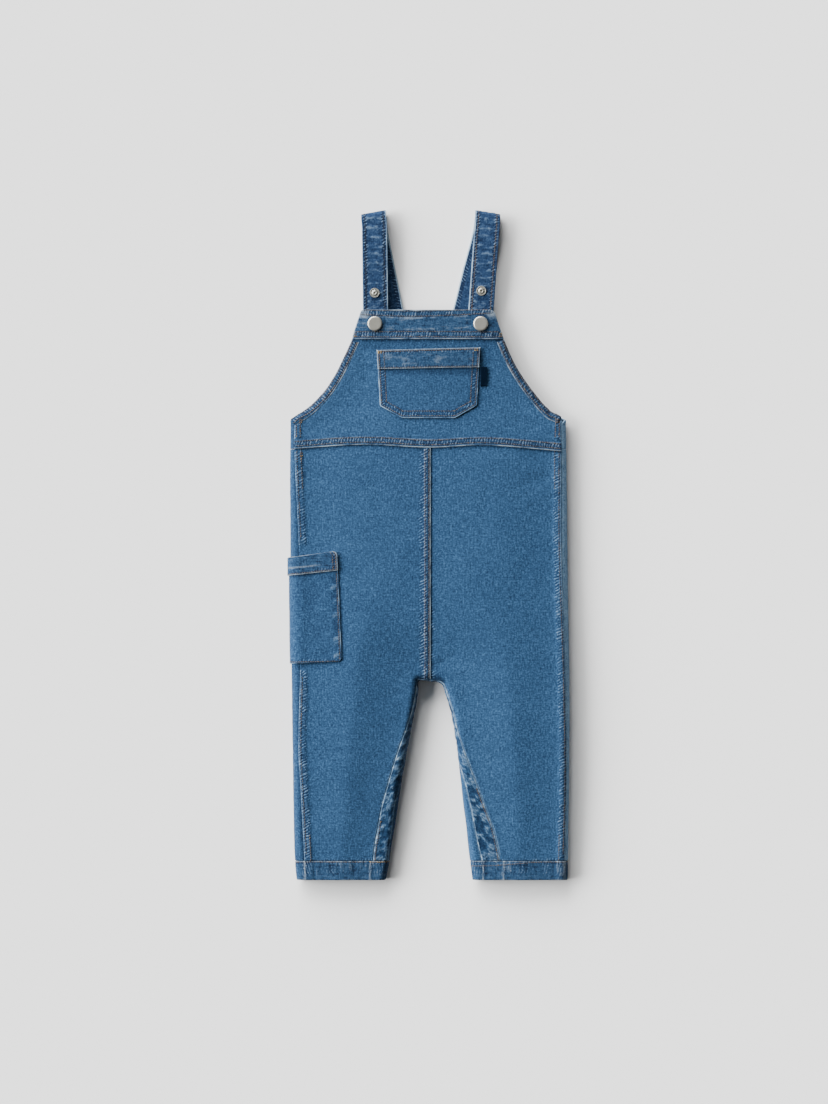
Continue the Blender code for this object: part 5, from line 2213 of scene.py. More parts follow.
@dataclass
class ThighPocket(Applied):
    """The patch pocket that wraps round the left thigh."""

    node: str = "thigh_pocket"
    slot: str = "denim"
    weave: str = "turned up"
    column_grade: Grade = (63, (0.0, 0.3, 0.75, 1.3, 2.0, 2.8, 3.8, 5.0), FINE, 1.4)
    row_grade: Grade = (109, (0.0, 0.3, 0.75, 1.3, 2.0, 2.8, 3.8), MOUTH_STEPS, 1.75)
    rests_on: Names = ("front_leg_left_cloth", "back_leg_left_cloth")
    edge_x: Pair = (-86.6, -91.1)
    foot: Pair = (218.3, 215.6)
    mouth: Pair = (327.9, 321.7)
    turn: float = -38.0
    slack: float = 1.2
    corner: float = 4.4
    hem: float = 19.0

    def surface(self, u: Array, v: Array) -> Array:
        """The skin under the pocket, with its slack.

        Args:
            u: The columns' positions.
            v: The rows' positions.

        Returns:
            The grid of points.
        """
        side_up = mix(self.foot[1], self.mouth[1], v)
        start = SKIN.girth(mix(*self.edge_x, v) - SIDE_EDGES.read("left", side_up), side_up)
        left = np.clip(self.corner - np.minimum(v, 1 - v) * (self.mouth[0] - self.foot[0]), 0, self.corner)
        start = start - (self.corner - np.sqrt(self.corner**2 - left**2))
        end = SKIN.quarter(side_up) * self.turn / 90
        girth = mix(start, end, u)
        near = np.clip(girth / start, 0, 1)
        up = mix(side_up, mix(self.foot[0], self.mouth[0], v), near)
        self.slackness = self.slack * np.sin(np.pi * u) * np.sin(np.pi * (0.15 + 0.7 * v))
        return SKIN.rim(SIDE_EDGES.read("left", up), up, 0.0, girth)

    def dress(self, lay: Lay) -> Dressing:
        """Slack, puckers beside the stitches, worn edges and painted shadow under the hem.

        Args:
            lay: Where the points lie.

        Returns:
            What is added to the plain layer.
        """
        grain, broad = Grain(151), Grain(152)
        ticks = grain.rough(lay.up / 3.6 + lay.left * 0.25, lay.left / 8) * within(lay.left, 1.6, 6.5, 2.5)
        low = grain.rough(lay.left / 3.4, lay.foot / 8) * within(lay.foot, 1.2, 4.5, 2.0)
        ticks = (ticks + low) * (0.75 + 0.4 * broad.at(lay.up / 14, 1.0))
        edges = np.minimum(lay.left, lay.foot)
        row = line(edges - 1.9, 0.85)
        patchy = 0.7 + 0.5 * broad.at(lay.up / 7, lay.left / 7)
        mouth = smooth((lay.head - self.hem) / 2.5)
        wave = broad.rough(lay.left / 13, lay.up / 16) * smooth((edges - 5) / 8) * mouth
        side = line(lay.x - SIDE_SEAMS.read("left", lay.up) - 2.5, 3.4) * smooth((lay.z - 7) / 3)
        blotch = 1.4 * grain.rough(lay.up / 4.6 + lay.left * 0.08, lay.left / 14)
        blotch = blotch * within(lay.left, 3.0, 7.6, 1.8) * mouth
        return Dressing(
            lift=self.slackness + (0.22 * ticks - 0.14 * row) * mouth + 0.3 * (wave + side)
            + 0.25 * blotch,
            pale=0.2 * over(ticks, 0.08) + 1.55 * line(edges - 0.4, 0.5) * patchy + 0.06 * side
            + 0.7 * over(blotch, 0.05),
            # painted shadow: the term on lay.head darkens the pocket just under the hem's lower edge
            dark=0.3 * over(-ticks) + 1.0 * row + 0.5 * within(lay.head, self.hem - 1.0, self.hem + 1.6, 2.0)
            + 0.24 + 0.3 * over(-wave) + 1.6 * over(-blotch, -0.02) * within(lay.left, 2.6, 7.6, 1.8),
            sewn=np.where(lay.left < lay.foot, -0.2, 0.45) * within(edges, 1.0, 4.6, 1.6) * mouth,
        )


@dataclass
class ThighPocketHem(ThighPocket):
    """The turned mouth of the thigh pocket."""

    node: str = "thigh_pocket_hem"
    slot: str = "seam_denim"
    outer: float = ON_POCKET
    rests_on: Names = ("thigh_pocket_cloth",)

    def along(self) -> Array:
        """Fractions of the height, over the hem's foot."""
        first = 1 - self.hem / (self.mouth[0] - self.foot[0])
        return mix(first, 1.0, graded(self.hem, NARROW, MOUTH_STEPS, 1.0))

    def dress(self, lay: Lay) -> Dressing:
        """A stitched foot, worn edges and a little mottle.

        Args:
            lay: Where the points lie.

        Returns:
            What is added to the plain layer.
        """
        grain, broad = Grain(161), Grain(162)
        foot = ticks_between(lay.left, lay.foot, 0.4, 4.5, grain, pitch=3.0)
        mottle = broad.rough(lay.left / 5.5, lay.up / 5.0)
        rows = line(lay.foot - 1.3, 0.85) + line(lay.left - 1.9, 0.85) + 0.8 * line(lay.left - 5.0, 0.85)
        return Dressing(
            lift=self.slackness + 0.2 * foot - 0.14 * rows + 0.08 * mottle,
            pale=0.3 * over(foot, 0.08) + 1.1 * line(lay.head - 0.5, 0.5) + 1.3 * line(lay.left - 0.4, 0.5)
            + 1.35 * line(lay.foot - 0.3, 0.42) + 0.12 * over(mottle)
            + 0.7 * line(lay.foot - 7.4, 0.8) * mix(0.25, 1.0, smooth((lay.left - 12) / 14)),
            dark=0.3 * over(-foot, 0.05) + 0.85 * rows + 0.3 * over(-mottle) + 0.2
            + 0.25 * line(lay.foot - 5.4, 1.2) * smooth((lay.left - 16) / 10),
            sewn=0.35 * within(lay.foot, 2.0, 4.0, 1.2) - 0.5 * within(lay.left, 1.8, 5.0, 0.8),
        )


STRAP_FRONTS = {
    Side.LEFT: Table(
        "up x z tilt",
        (534, -53.3, 6.9, 0.0), (552, -53.3, 7.0, 0.0), (569, -53.3, 7.7, 0.0), (580, -53.4, 8.5, 0.5),
        (598, -53.6, 9.5, 1.0), (620, -53.9, 10.3, 2.0), (642, -54.2, 10.4, 4.0),
        (655, -54.5, 10.1, 7.0),
    ),
    Side.RIGHT: Table(
        "up x z tilt",
        (534, 49.4, 6.9, -4.0), (552, 50.7, 7.0, -4.0), (569, 51.9, 7.7, -4.0), (580, 52.7, 8.5, -4.2),
        (598, 54.0, 9.5, -4.5), (620, 55.6, 10.3, -5.0), (642, 57.2, 10.4, -6.5),
        (655, 58.3, 10.1, -8.0),
    ),
}
STRAP_STEPS = (0.0, 0.25, 0.6, 1.0, 1.6, 2.3, 3.0, 3.8, 4.7)
STRAP_FOLDS = {Side.LEFT: (-55.2, 9.5), Side.RIGHT: (58.6, -10.0)}
STRAP_BACKS = {
    Side.LEFT: (
        (644, -53.2, 1.1, 12.0), (610, -46.6, 1.1, 11.5), (571, -38.8, 1.1, 11.5),
        (535, -31.7, 1.3, 11.5), (514, -27.5, 2.3, 11.5), (504, -25.5, 2.7, 11.5),
        (492, -23.1, 2.7, 11.5),
    ),
    Side.RIGHT: (
        (644, 55.9, 1.1, -13.0), (610, 47.0, 1.1, -13.4), (571, 37.3, 1.1, -13.4),
        (535, 28.3, 1.3, -13.4), (514, 23.1, 2.3, -13.4), (504, 20.6, 2.7, -13.4),
        (492, 17.6, 2.7, -13.4),
    ),
}


@dataclass
class Strap(Cloth):
    """A doubled strap: out from behind the bib, over its fold and down to the back."""

    node: str = "strap_{}"
    core: Pair = (50.0, 0.0)
    weave: str = "left foot"
    slot: str = "seam_denim"
    outer: float = 1.0
    wall: float = 2.0
    border_roll: float = 0.75
    probe_row: float = 0.2
    width: float = 25.4
    column_grade: Grade = (width, STRAP_STEPS, STRAP_STEPS, 1.3)
    fold_up: float = 661.4
    fold_radius: float = 4.4
    fold_rest: float = 1.1
    fold_steps: int = 9
    rows: Pair = (3.4, 3.4)
    pucker: float = 0.26
    crease_step: float = 8.4
    back_pale: float = 0.14
    lined: bool = True

    def path(self) -> Array:
        """Rows of the middle line: x, up, z and the tilt of the strap across.

        Returns:
            The rows, from the bib over the fold to the back.
        """
        front = STRAP_FRONTS[self.side].rows[:, (1, 0, 2, 3)]
        turn = np.radians(np.linspace(90, -90, self.fold_steps))
        x, tilt = STRAP_FOLDS[self.side]
        fold_up = self.fold_up + self.fold_radius * np.cos(turn)
        z = self.fold_rest + self.fold_radius * (1 + np.sin(turn))
        fold = np.stack([np.full(turn.shape, x), fold_up, z, np.full(turn.shape, tilt)], axis=1)
        back = np.array(STRAP_BACKS[self.side], dtype=float)[:, (1, 0, 2, 3)]
        return np.vstack([front, fold, back])

    def along(self) -> Array:
        """Distances along the strap."""
        length = float(np.linalg.norm(np.diff(self.path()[:, :3], axis=0), axis=1).sum())
        return length * graded(length, FINE, FINE, 1.25)

    def surface(self, u: Array, v: Array) -> Array:
        """The strap's middle sheet.

        Args:
            u: The columns' positions.
            v: The rows' positions.

        Returns:
            The grid of points.
        """
        rows = self.path()
        lengths = run_lengths(rows[:, :3])
        line_rows = curve(lengths, rows, v[0])
        tilt = np.radians(line_rows[:, 3])
        across = np.stack([np.cos(tilt), np.sin(tilt), np.zeros(tilt.shape)], axis=1)
        return line_rows[:, :3] + across * (self.width * (u - 0.5))[..., None]

    def dress(self, lay: Lay) -> Dressing:
        """Dark stitched borders, creases across the middle, worn edges and painted light on the back part.

        Args:
            lay: Where the points lie.

        Returns:
            What is added to the plain layer.
        """
        grain, fine, broad = Grain(171 + self.side.sign), Grain(175 + self.side.sign), Grain(178)
        ends = np.minimum(lay.left, lay.right)
        along = lay.foot
        front = 1 - smooth((along - 132) / 8)
        border = within(ends, 1.6, 5.0, 0.9)
        ticks = grain.rough(along / 2.6 + ends * 0.1, lay.left / 6) * within(ends, 0.4, 4.8, 1.2)
        run = along + 1.7 * fine.at(lay.left / 4.5, along / 10) + 2.6 * broad.at(along / 27, 7.0)
        off = run - self.crease_step * np.rint(run / self.crease_step)
        across = smooth((ends - 3.6) / 1.6)
        broken = np.clip(0.55 + 0.9 * grain.at(lay.left / 3.6, along / 7 + 40), 0, 1.2) * across
        crease = line(off, 1.25) * broken
        hollow = line(off - 4.0, 2.6) * across
        streak = broad.rough(lay.left / 5.0, along / 1.9) * across
        rows = line(ends - self.rows[0], 0.65)
        patchy = 0.6 + 0.6 * broad.at(along / 9, lay.left / 20)
        bright = lay.right if self.side is Side.LEFT else lay.left
        near_floor = smooth((lay.z - 1.6) / 2.0)
        relief = self.pucker * ticks + 0.34 * crease - 0.18 * rows + 0.10 * streak - 0.12 * hollow
        return Dressing(
            lift=relief * mix(0.0, 1.0, np.maximum(near_floor, front)),
            pale=(0.34 * over(ticks, 0.1) + 0.6 * crease + 0.6 * over(streak, 0.08)) * front
            + 1.5 * line(bright - 0.8, 0.5) * mix(0.6, 1.0, patchy) + 0.5 * line(ends - 0.4, 0.55) * patchy
            # painted light: the back part of the strap, in shade under the front, is made paler; its pale
            # edges are wear
            + (0.5 * line(ends - 0.5, 0.7) + self.back_pale) * (1 - front),
            dark=0.85 * border + 0.3 * rows + 0.45 * over(-streak, 0.1) + 0.3 * hollow,
            sewn=-1.15 * border * mix(0.6, 1.0, front),
        )


@dataclass
class SnapPart:
    """A round metal part turned from a profile of radii and heights, seated on the cloth."""

    finish: Material
    node: str
    seat: Array
    normal: Array
    profile: tuple[Pair, ...]
    steps: int = 48

    def build(self) -> bpy.types.Object:
        """Turns the part and seats it.

        Returns:
            The piece.
        """
        bm = bmesh.new()
        verts = [bm.verts.new((radius * MM, 0, height * MM)) for radius, height in self.profile]
        edges = [bm.edges.new(pair) for pair in zip(verts, verts[1:])]
        bmesh.ops.spin(bm, geom=verts + edges, cent=(0, 0, 0), axis=(0, 0, 1), dvec=(0, 0, 0), angle=math.tau,
                       steps=self.steps, use_merge=True, use_duplicate=False)
        bmesh.ops.remove_doubles(bm, verts=bm.verts[:], dist=MM * 0.01)
        bmesh.ops.recalc_face_normals(bm, faces=bm.faces[:])
        turn = Vector((0, 0, 1)).rotation_difference(Vector(self.normal)).to_matrix()
        bmesh.ops.rotate(bm, verts=bm.verts[:], cent=(0, 0, 0), matrix=turn)
        bmesh.ops.translate(bm, verts=bm.verts[:], vec=Vector(to_world(self.seat)))
        mesh = mesh_from(bm, self.node)
        if signed_volume(mesh) < 0:
            mesh.flip_normals()
        mesh.shade_smooth()
        mesh.set_sharp_from_angle(angle=math.radians(50))
        piece = link(mesh, f"{self.node}_turned", self.finish)
        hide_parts(self.node)
        log.info("%s: seated at %.1f, %.1f", piece.name, self.seat[0], self.seat[1])
        return piece


CAP_PROFILE = (
    (0, 2.05), (3.0, 2.07), (5.6, 2.12), (6.3, 2.08), (6.85, 1.85), (7.2, 1.4), (7.35, 0.9), (7.2, 0.4),
    (6.7, 0.08), (6.5, 0), (0, 0),
)
STUD_PROFILE = (
    (0, 1.0), (0.9, 1.0), (1.05, 2.1), (1.4, 2.42), (1.9, 2.38), (2.25, 2.05), (2.45, 0.85), (3.1, 0.4),
    (3.75, 0.5), (4.2, 1.0), (4.5, 1.02), (4.75, 0.7), (4.85, 0.35), (4.75, 0), (0, 0),
)


@dataclass(frozen=True)
class Snaps:
    """The caps on the bib band and the spare studs further up the straps."""

    cap_up: float = 555.0
    cap_x: Pair = (-54.0, 51.5)
    stud_x: Pair = (-54.2, 52.2)
    stud_up: Pair = (586.0, 588.0)
    stud_reach: float = 5.1

    def build(self, nickel: Material) -> None:
        """Turns and seats all four, and gives the hidden sockets their finish.

        Args:
            nickel: The metal.
        """
        up, near = self.cap_up, 0.4
        for index, side in enumerate(Side):
            x = self.cap_x[index]
            across = SKIN.on_top(x + near, up) - SKIN.on_top(x - near, up)
            along = SKIN.on_top(x, up + near) - SKIN.on_top(x, up - near)
            normal = unit(np.cross(across, along))
            seat = SKIN.on_top(x, up) + normal * (ON_TOP + SEAM_GAP)
            SnapPart(nickel, f"snap_cap_{side.value}", seat, normal, CAP_PROFILE).build()
            front, stud_up = STRAP_FRONTS[side], self.stud_up[index]
            low, z, high = (float(front.read("z", stud_up + k * self.stud_reach)) for k in (-1, 0, 1))
            normal = unit(np.array((0.0, low - high, 2 * self.stud_reach)))
            seat = np.array((self.stud_x[index], stud_up, z)) + normal * (1.0 + SEAM_GAP)
            SnapPart(nickel, f"strap_stud_{side.value}", seat, normal, STUD_PROFILE).build()
            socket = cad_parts[f"snap_socket_{side.value}"]
            for k in range(len(socket.material_slots)):
                socket.material_slots[k].material = nickel


class Tone(Enum):
    """Shades of the sewing thread."""

    NAVY = 0.08
    DULL = 0.36
    BROWN = 0.42
    RUST = 0.52
    AMBER = 0.70
    GOLD = 0.90


@dataclass
class Sewing:
    """Rows of stitches that are sewn into one group of pieces."""

    name: str
    finish: Material
    seed: int
    pitch: float = 2.4
    long: float = 2.1
    wide: float = 1.0
    high: float = 0.6
    sunk: float = 0.05
    slant: float = 0.4
    rows: list[tuple[Array, Array, float, float]] = field(default_factory=list)

    def add(self, spots: Array, ways: Array, tone: Tone, spread: float = 0.12) -> None:
        """Adds a row along points of the cloth.

        Args:
            spots: The points.
            ways: The ways out of the cloth there.
            tone: The thread's shade.
            spread: How much the shade varies from stitch to stitch.
        """
        self.rows.append((spots, ways, tone.value, spread))

    def tack(
        self, pressed: "Pressed", x: float, up: float, turn: float, length: float, width: float, tone: Tone,
        spread: float,
    ) -> None:
        """Adds the close rows of a bar tack.

        Args:
            pressed: The cloth that it is sewn into.
            x: Its middle across.
            up: Its middle along.
            turn: The way it runs, in degrees.
            length: Its length.
            width: Its width.
            tone: The thread's shade.
            spread: How much the shade varies.
        """
        run = np.array((math.cos(math.radians(turn)), math.sin(math.radians(turn))))
        off = np.array((-run[1], run[0]))
        for k in np.linspace(-0.5, 0.5, max(2, round(width / 0.75))):
            middle = np.array((x, up)) + off * width * k
            ends = (tuple(middle + run * way * length / 2) for way in (-1, 1))
            self.add(*pressed.row(*ends, step=0.8), tone, spread)

    def sew(
        self, spots: Array, ways: Array, tone: float, spread: float, random: np.random.Generator
    ) -> bpy.types.Mesh:
        """Makes one row of stitches.

        Args:
            spots: Points along the row.
            ways: The ways out of the cloth there.
            tone: The thread's shade.
            spread: How much the shade varies.
            random: Source of the small differences.

        Returns:
            The row's mesh.
        """
        lengths = run_lengths(spots)
        bm = bmesh.new()
        shade = bm.verts.layers.float.new("tone")
        for at in np.arange(self.pitch / 2, lengths[-1] - self.pitch / 3, self.pitch):
            ends = [read_along(lengths, spots, at + s) for s in (-1.0, 1.0)]
            way = read_along(lengths, ways, at)
            along = unit(ends[1] - ends[0])
            side = unit(np.cross(along, way))
            up = np.cross(side, along)
            along = along + side * (self.slant + random.normal(0, 0.07))
            size = 1 + random.normal(0, 0.06)
            middle = (ends[0] + ends[1]) / 2 + side * random.normal(0, 0.07) + up * self.sunk
            columns = (side * self.wide * size / 2, up * self.high / 2, along * self.long * size / 2)
            matrix = Matrix.Identity(4)
            for k, column in enumerate(columns):
                matrix.col[k].xyz = Vector(column) * MM
            matrix.translation = Vector(to_world(middle))
            made = bmesh.ops.create_uvsphere(bm, u_segments=6, v_segments=4, radius=1.0, matrix=matrix)
            value = tone + random.normal(0, spread)
            for vert in made["verts"]:
                vert[shade] = value
        bmesh.ops.recalc_face_normals(bm, faces=bm.faces[:])
        return mesh_from(bm, "row")

    def build(self) -> bpy.types.Object:
        """Joins the rows into one piece.

        Returns:
            The piece.
        """
        random = np.random.default_rng(self.seed)
        joined = bmesh.new()
        for spots, ways, tone, spread in self.rows:
            row = self.sew(spots, ways, tone, spread, random)
            joined.from_mesh(row)
            bpy.data.meshes.remove(row)
        mesh = mesh_from(joined, self.name)
        mesh.shade_smooth()
        piece = link(mesh, self.name, self.finish)
        log.info("%s: %d rows, %d faces", piece.name, len(self.rows), len(mesh.polygons))
        return piece


class Pressed:
    """The outer sides of pieces, as seen from above, for rows that are laid out in plan."""

    def __init__(self, *cloths: Cloth) -> None:
        """Gathers the pieces.

        Args:
            cloths: The pieces, already laid out.
        """
        self.trees = []
        for cloth in cloths:
            mesh = cloth.piece.data
            spots = [vert.co.copy() for vert in mesh.vertices]
            faces = [tuple(face.vertices) for face in mesh.polygons]
            self.trees.append(BVHTree.FromPolygons(spots, faces))

    def row(self, *plan: Pair, step: float = 1.2) -> tuple[Array, Array]:
        """Lays a row out in plan on whatever is uppermost.

        Args:
            plan: Points across and along, joined by straight lines.
            step: Distance between the points of the outcome.

        Returns:
            Points on the cloth and the ways out of it.
        """
        points = np.array(plan, dtype=float)
        lengths = run_lengths(points)
        spots, ways = [], []
        for at in np.linspace(0, lengths[-1], max(2, round(lengths[-1] / step) + 1)):
            x, up = read_along(lengths, points, at)
            best = None
            for tree in self.trees:
                start = Vector(to_world(np.array((x, up, 60.0))))
                spot, way, _, _ = tree.ray_cast(start, Vector((0, 0, -1)))
                if spot is not None and (best is None or spot.z > best[0].z):
                    best = (spot, way)
            if best is not None:
                spots.append(np.array(best[0]) / MM + (0, LENGTH / 2, 0))
                ways.append(np.array(best[1]))
        spots, ways = np.array(spots), np.array(ways)
        if len(ways) > 4:
            ways[1:-1] = (ways[:-2] + ways[1:-1] + ways[2:]) / 3
        return spots, ways


def between(low: float, high: float) -> Callable[[Array], Array]:
    """Picks the points of a row that lie between two heights along the garment."""
    return lambda spots: (spots[:, 1] > low) & (spots[:, 1] < high)


def above(z: float) -> Callable[[Array], Array]:
    """Picks the points of a row that lie over a height above the floor."""
    return lambda spots: spots[:, 2] > z


@dataclass
class Garment:
    """All pieces of cloth, kept by node, with what is sewn into them."""

    denim: Material
    side_denim: Material
    seam: Material
    crinkled: Material
    strap_denim: Material
    tape: Material
    thread: Material
    cloths: dict[str, Cloth] = field(default_factory=dict)

    def lay(self, cloth: Cloth) -> None:
        """Builds a piece and keeps it."""
        self.cloths[cloth.node] = cloth.build()

    def lay_all(self) -> None:
        """Lays all the cloth, from the back to the trims."""
        self.lay(BackBib(self.side_denim))
        # the right back leg's wrap gets painted light, the left one little
        for side, wrap_pale, trims in zip(Side, (0.04, 0.95), (("centre_seam_cloth",), ())):
            self.lay(BackLeg(self.side_denim, side, wrap_pale=wrap_pale))
            self.lay(Gusset(self.crinkled, side))
            self.lay(FrontLeg(self.denim, side, trims=trims))
            self.lay(LegHem(self.seam, side))
        self.lay(BibPanel(self.denim))
        self.lay(WaistSeam(self.seam))
        self.lay(CentreSeam(self.seam))
        self.lay(BibBand(self.seam))
        for side in Side:
            self.lay(ArmholeHem(self.seam, side))
        self.lay(ChestPocket(self.denim))
        self.lay(ChestPocketHem(self.seam))
        self.lay(SideTab(self.tape))
        self.lay(ThighPocket(self.denim))
        self.lay(ThighPocketHem(self.seam))
        for side in Side:
            self.lay(Strap(self.strap_denim, side))
        for cloth in self.cloths.values():
            cloth.declare()

    def sew(
        self, sewing: Sewing, node: str, border: str, distance: Distance, tone: Tone, spread: float = 0.12,
        keep: slice | Callable[[Array], Array] = slice(None),
    ) -> None:
        """Sews a row of stitches beside a border of a piece.

        Args:
            sewing: The group that the row joins.
            node: The piece.
            border: The border: left, right, foot or head.
            distance: How far in from it.
            tone: The thread's shade.
            spread: How much the shade varies.
            keep: Which of the row's points are sewn.
        """
        spots, ways = self.cloths[node].row(border, distance)
        kept = keep(spots) if callable(keep) else keep
        sewing.add(spots[kept], ways[kept], tone, spread)

    def pressed(self, *nodes: str) -> Pressed:
        """The outer sides of some pieces."""
        return Pressed(*(self.cloths[node] for node in nodes))

    def sew_bib(self) -> None:
        """Sews the band, the armholes and the sides of the bib."""
        sewing = Sewing("stitches_bib", self.thread, 1)
        for border, distances in (("head", BibBand.head_rows), ("foot", BibBand.foot_rows)):
            for distance in distances:
                self.sew(sewing, "bib_band", border, distance, Tone.BROWN, 0.09, slice(3, -3))
        hems = [f"armhole_hem_{side.value}" for side in Side]
        for hem in hems:
            for distance in ArmholeHem.rows:
                self.sew(sewing, hem, "left", distance, Tone.RUST, 0.1, slice(2, -1))
        bib = self.pressed("bib_panel")
        for side in Side:
            for away in BibPanel.side_band.rows:
                foot, head = (BIB_EDGES.read(side.value, up) - side.sign * away for up in (441.0, 459.5))
                sewing.add(*bib.row((foot, 441.5), (head, 459.0 - away * 0.3)), Tone.RUST)
        ends = self.pressed("bib_band", "bib_panel", *hems)
        for x, up, turn in ((-73.5, 544.6, 90), (71.5, 544.6, 90), (-127.8, 458.6, 84), (127.2, 458.8, 96)):
            sewing.tack(ends, x, up, turn, 6.5, 1.6, Tone.AMBER, 0.08)
        sewing.build()

    def sew_trousers(self) -> None:
        """Sews the waist, the centre front, the side seams, the gussets and the hems."""
        sewing = Sewing("stitches_trousers", self.thread, 2)
        for distance in WaistSeam.rows:
            self.sew(sewing, "waist_seam", "foot", distance, Tone.BROWN, 0.1, slice(2, -2))
        for distance in CentreSeam.rows:
            self.sew(sewing, "centre_seam", "right", distance, Tone.BROWN, 0.1)
        for side in Side:
            is_left = side is Side.LEFT
            leg = f"front_leg_{side.value}"
            self.sew(sewing, leg, "left", 6.5, Tone.RUST, keep=between(0, 46))
            self.sew(sewing, leg, "left", 6.5, Tone.BROWN, keep=between(388, LENGTH))
            for foot, head in ((24, 206), (338, 430)) if is_left else ((24, 430),):
                self.sew(sewing, leg, "left", 2.3, Tone.DULL, 0.14, between(foot, head))
            upper = 60 if is_left else 92
            self.sew(sewing, f"gusset_{side.value}", "left", 2.0, Tone.RUST, keep=between(0, upper))
        tacks = self.pressed("front_leg_left", "back_leg_left")
        sewing.tack(tacks, -127.4, 425.0, 90, 6.0, 1.5, Tone.AMBER, 0.08)
        sewing.build()
        hems = Sewing("stitches_hems", self.thread, 3)
        seam_x, rest_z, low, climb = -62, 1.0, 1.1, 4.0
        for tone, sign in ((Tone.GOLD, 1), (Tone.RUST, -1)):
            self.sew(
                hems, "leg_hem_left", "head", low, tone,
                keep=lambda spots: (sign * (spots[:, 0] - seam_x) > 0) & (spots[:, 2] > rest_z),
            )
        self.sew(
            hems, "leg_hem_right", "head",
            lambda spot: low + climb * float(smooth((118 - spot[0]) / 70)) * float(spot[2] > 4),
            Tone.RUST, keep=above(rest_z),
        )
        hems.build()

    def sew_pockets(self) -> None:
        """Sews both patch pockets."""
        sewing = Sewing("stitches_pockets", self.thread, 4)
        chest = self.pressed("chest_pocket", "chest_pocket_hem")
        heights = np.concatenate([np.linspace(527, 476, 12), (474.2, 472.0, 466.0, 461.5, 460.9)])
        outline = np.array([
            (float(CHEST_EDGES.read(side.value, up)), up)
            for side, run in zip(Side, (heights, heights[::-1])) for up in run
        ])
        way = unit(np.gradient(outline, axis=0))
        for away in ChestPocket.rows:
            inset = outline + np.stack([-way[:, 1], way[:, 0]], axis=1) * away
            sewing.add(*chest.row(*map(tuple, inset)), Tone.BROWN, 0.1)
        self.sew(sewing, "chest_pocket_hem", "head", 1.8, Tone.RUST, 0.1, slice(2, -2))
        self.sew(sewing, "chest_pocket_hem", "foot", 1.1, Tone.BROWN, 0.1, slice(2, -2))
        for x, up in ((-48.6, 526.5), (47.6, 529.0)):
            sewing.tack(chest, x, up, 0, 5.5, 1.6, Tone.GOLD, 0.07)
        self.sew(sewing, "thigh_pocket", "left", 1.9, Tone.BROWN, 0.1, between(220, 307.5))
        self.sew(sewing, "thigh_pocket", "foot", 1.9, Tone.BROWN, 0.1, slice(2, None))
        self.sew(sewing, "thigh_pocket_hem", "foot", 1.3, Tone.BROWN, 0.1, slice(2, None))
        for away, tone in ((1.9, Tone.RUST), (5.0, Tone.BROWN)):
            self.sew(sewing, "thigh_pocket_hem", "left", away, tone, keep=slice(1, -2))
        sewing.build()

    def sew_straps(self) -> None:
        """Sews both borders of each strap."""
        sewing = Sewing("stitches_straps", self.thread, 5)
        for side, tone in zip(Side, (Tone.NAVY, Tone.RUST)):
            for border in ("left", "right"):
                self.sew(sewing, f"strap_{side.value}", border, 3.4, tone, keep=above(1.2))
        sewing.build()


@dataclass(frozen=True)
class SoftLight:
    """A wide, distant soft light."""

    name: str
    share: float
    height: float
    way: float
    spread: float = 0.6

    def build(self, level: float) -> None:
        """Sets up the light.

        Args:
            level: What all lights together give a level white surface.
        """
        height, way = math.radians(self.height), math.radians(self.way)
        light = bpy.data.lights.new(self.name, "SUN")
        light.energy, light.angle = self.share * level * math.pi / math.sin(height), self.spread
        flat = math.cos(height)
        towards = Vector((math.cos(way) * flat, math.sin(way) * flat, math.sin(height)))
        lamp = bpy.data.objects.new(self.name, light)
        lamp.rotation_euler = towards.to_track_quat("Z", "Y").to_euler()
        lamp.location = towards * 3
        bpy.context.scene.collection.objects.link(lamp)


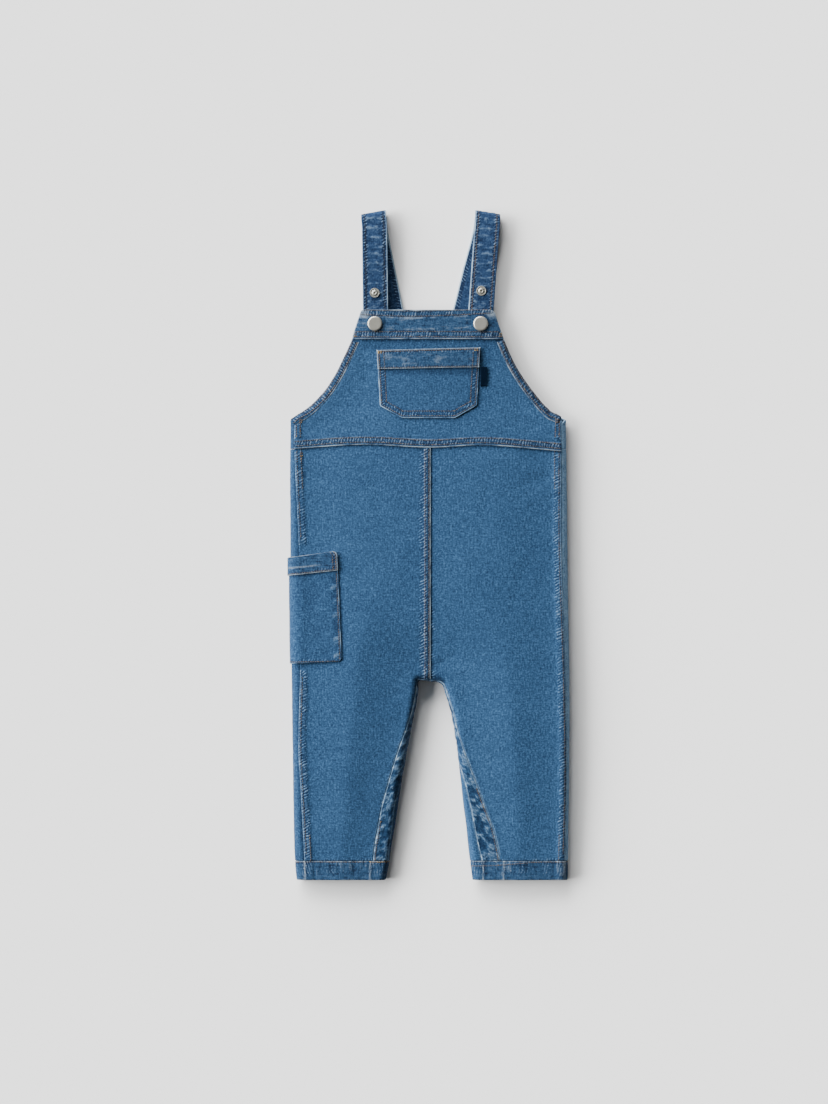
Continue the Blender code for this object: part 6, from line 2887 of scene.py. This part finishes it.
@dataclass(frozen=True)
class Studio:
    """A plain pale floor, soft lights from the left and the head, and a camera straight above."""

    floor_size: float = 6.0
    floor_drop: float = 0.3
    middle: Pair = (-15.0, -7.2)
    height: float = 4.6
    lens: float = 150.0
    level: float = 2.78
    lights: tuple[SoftLight, ...] = (
        SoftLight("left_light", 0.35, 22.0, 180.0),
        SoftLight("upper_left_light", 0.2, 20.0, 155.0),
        SoftLight("corner_light", 0.2, 20.0, 130.0),
        SoftLight("head_light", 0.25, 20.0, 105.0),
    )
    fill: float = 0.13

    def build(self, floor: Material) -> None:
        """Sets up the floor, the lights and the camera.

        Args:
            floor: The floor's finish.
        """
        bm = bmesh.new()
        bmesh.ops.create_grid(bm, x_segments=4, y_segments=4, size=self.floor_size / 2)
        bmesh.ops.translate(bm, verts=bm.verts[:], vec=(0, 0, -self.floor_drop * MM))
        mesh = mesh_from(bm, "studio_floor")
        mesh.materials.append(floor)
        ground = bpy.data.objects.new("studio_floor", mesh)
        bpy.context.scene.collection.objects.link(ground)

        for light in self.lights:
            light.build(self.level)

        world = bpy.data.worlds.new("soft_room")
        world.use_nodes = True
        background = world.node_tree.nodes["Background"]
        background.inputs["Color"].default_value = (1.0, 1.0, 1.0, 1)
        background.inputs["Strength"].default_value = self.fill
        bpy.context.scene.world = world

        camera = bpy.data.cameras.new("camera")
        camera.lens, camera.sensor_width, camera.sensor_fit = self.lens, 36.0, "AUTO"
        camera.clip_start, camera.clip_end = 0.1, 20.0
        view = bpy.data.objects.new("camera", camera)
        view.location = (self.middle[0] * MM, self.middle[1] * MM, self.height)
        bpy.context.scene.collection.objects.link(view)
        bpy.context.scene.camera = view
        log.info("studio: camera %.2f m above the floor", self.height)


WASHED = Denim(
    "washed_denim_cloth", deep=(0.0036, 0.015, 0.040), base=(0.0130, 0.0395, 0.086),
    worn=(0.034, 0.088, 0.178), pale=(0.105, 0.175, 0.265),
)
SEAM_DENIM = Denim(
    "seam_denim_cloth", deep=(0.0026, 0.008, 0.023), base=(0.0118, 0.0365, 0.079),
    worn=(0.040, 0.073, 0.128), pale=(0.165, 0.205, 0.250), heather=1.8, mottle=0.6, streaks=0.7,
)
CRINKLED = Denim(
    "crinkled_denim_cloth", deep=(0.0018, 0.011, 0.032), base=(0.0115, 0.037, 0.080),
    worn=(0.038, 0.086, 0.165), pale=(0.125, 0.20, 0.29), heather=1.8, mottle=0.9,
)
# painted light: the washed denim with a brighter pale colour, for the back pieces, to lift the wraps that
# roll into shade
SIDE_DENIM_PAINTED_LIGHT = replace(WASHED, name="side_denim_cloth", pale=(0.165, 0.280, 0.420))
STRAP_DENIM = Denim(
    "strap_denim_cloth", deep=(0.0030, 0.010, 0.030), base=(0.0106, 0.0275, 0.067),
    worn=(0.033, 0.062, 0.116), pale=(0.125, 0.195, 0.285), heather=1.8, mottle=0.5, streaks=0.8,
)


def main() -> None:
    """Builds the garment, what is sewn on it, and the studio."""
    logging.basicConfig(level=logging.INFO, format="%(name)s: %(message)s")
    studio = Studio()
    studio.build(PaleFloor().make())
    garment = Garment(
        WASHED.make(), SIDE_DENIM_PAINTED_LIGHT.make(), SEAM_DENIM.make(), CRINKLED.make(), STRAP_DENIM.make(),
        WovenTape().make(), Thread().make(),
    )
    garment.lay_all()
    garment.sew_bib()
    garment.sew_trousers()
    garment.sew_pockets()
    garment.sew_straps()
    Snaps().build(BrushedNickel().make())


if __name__ == "__main__":
    main()
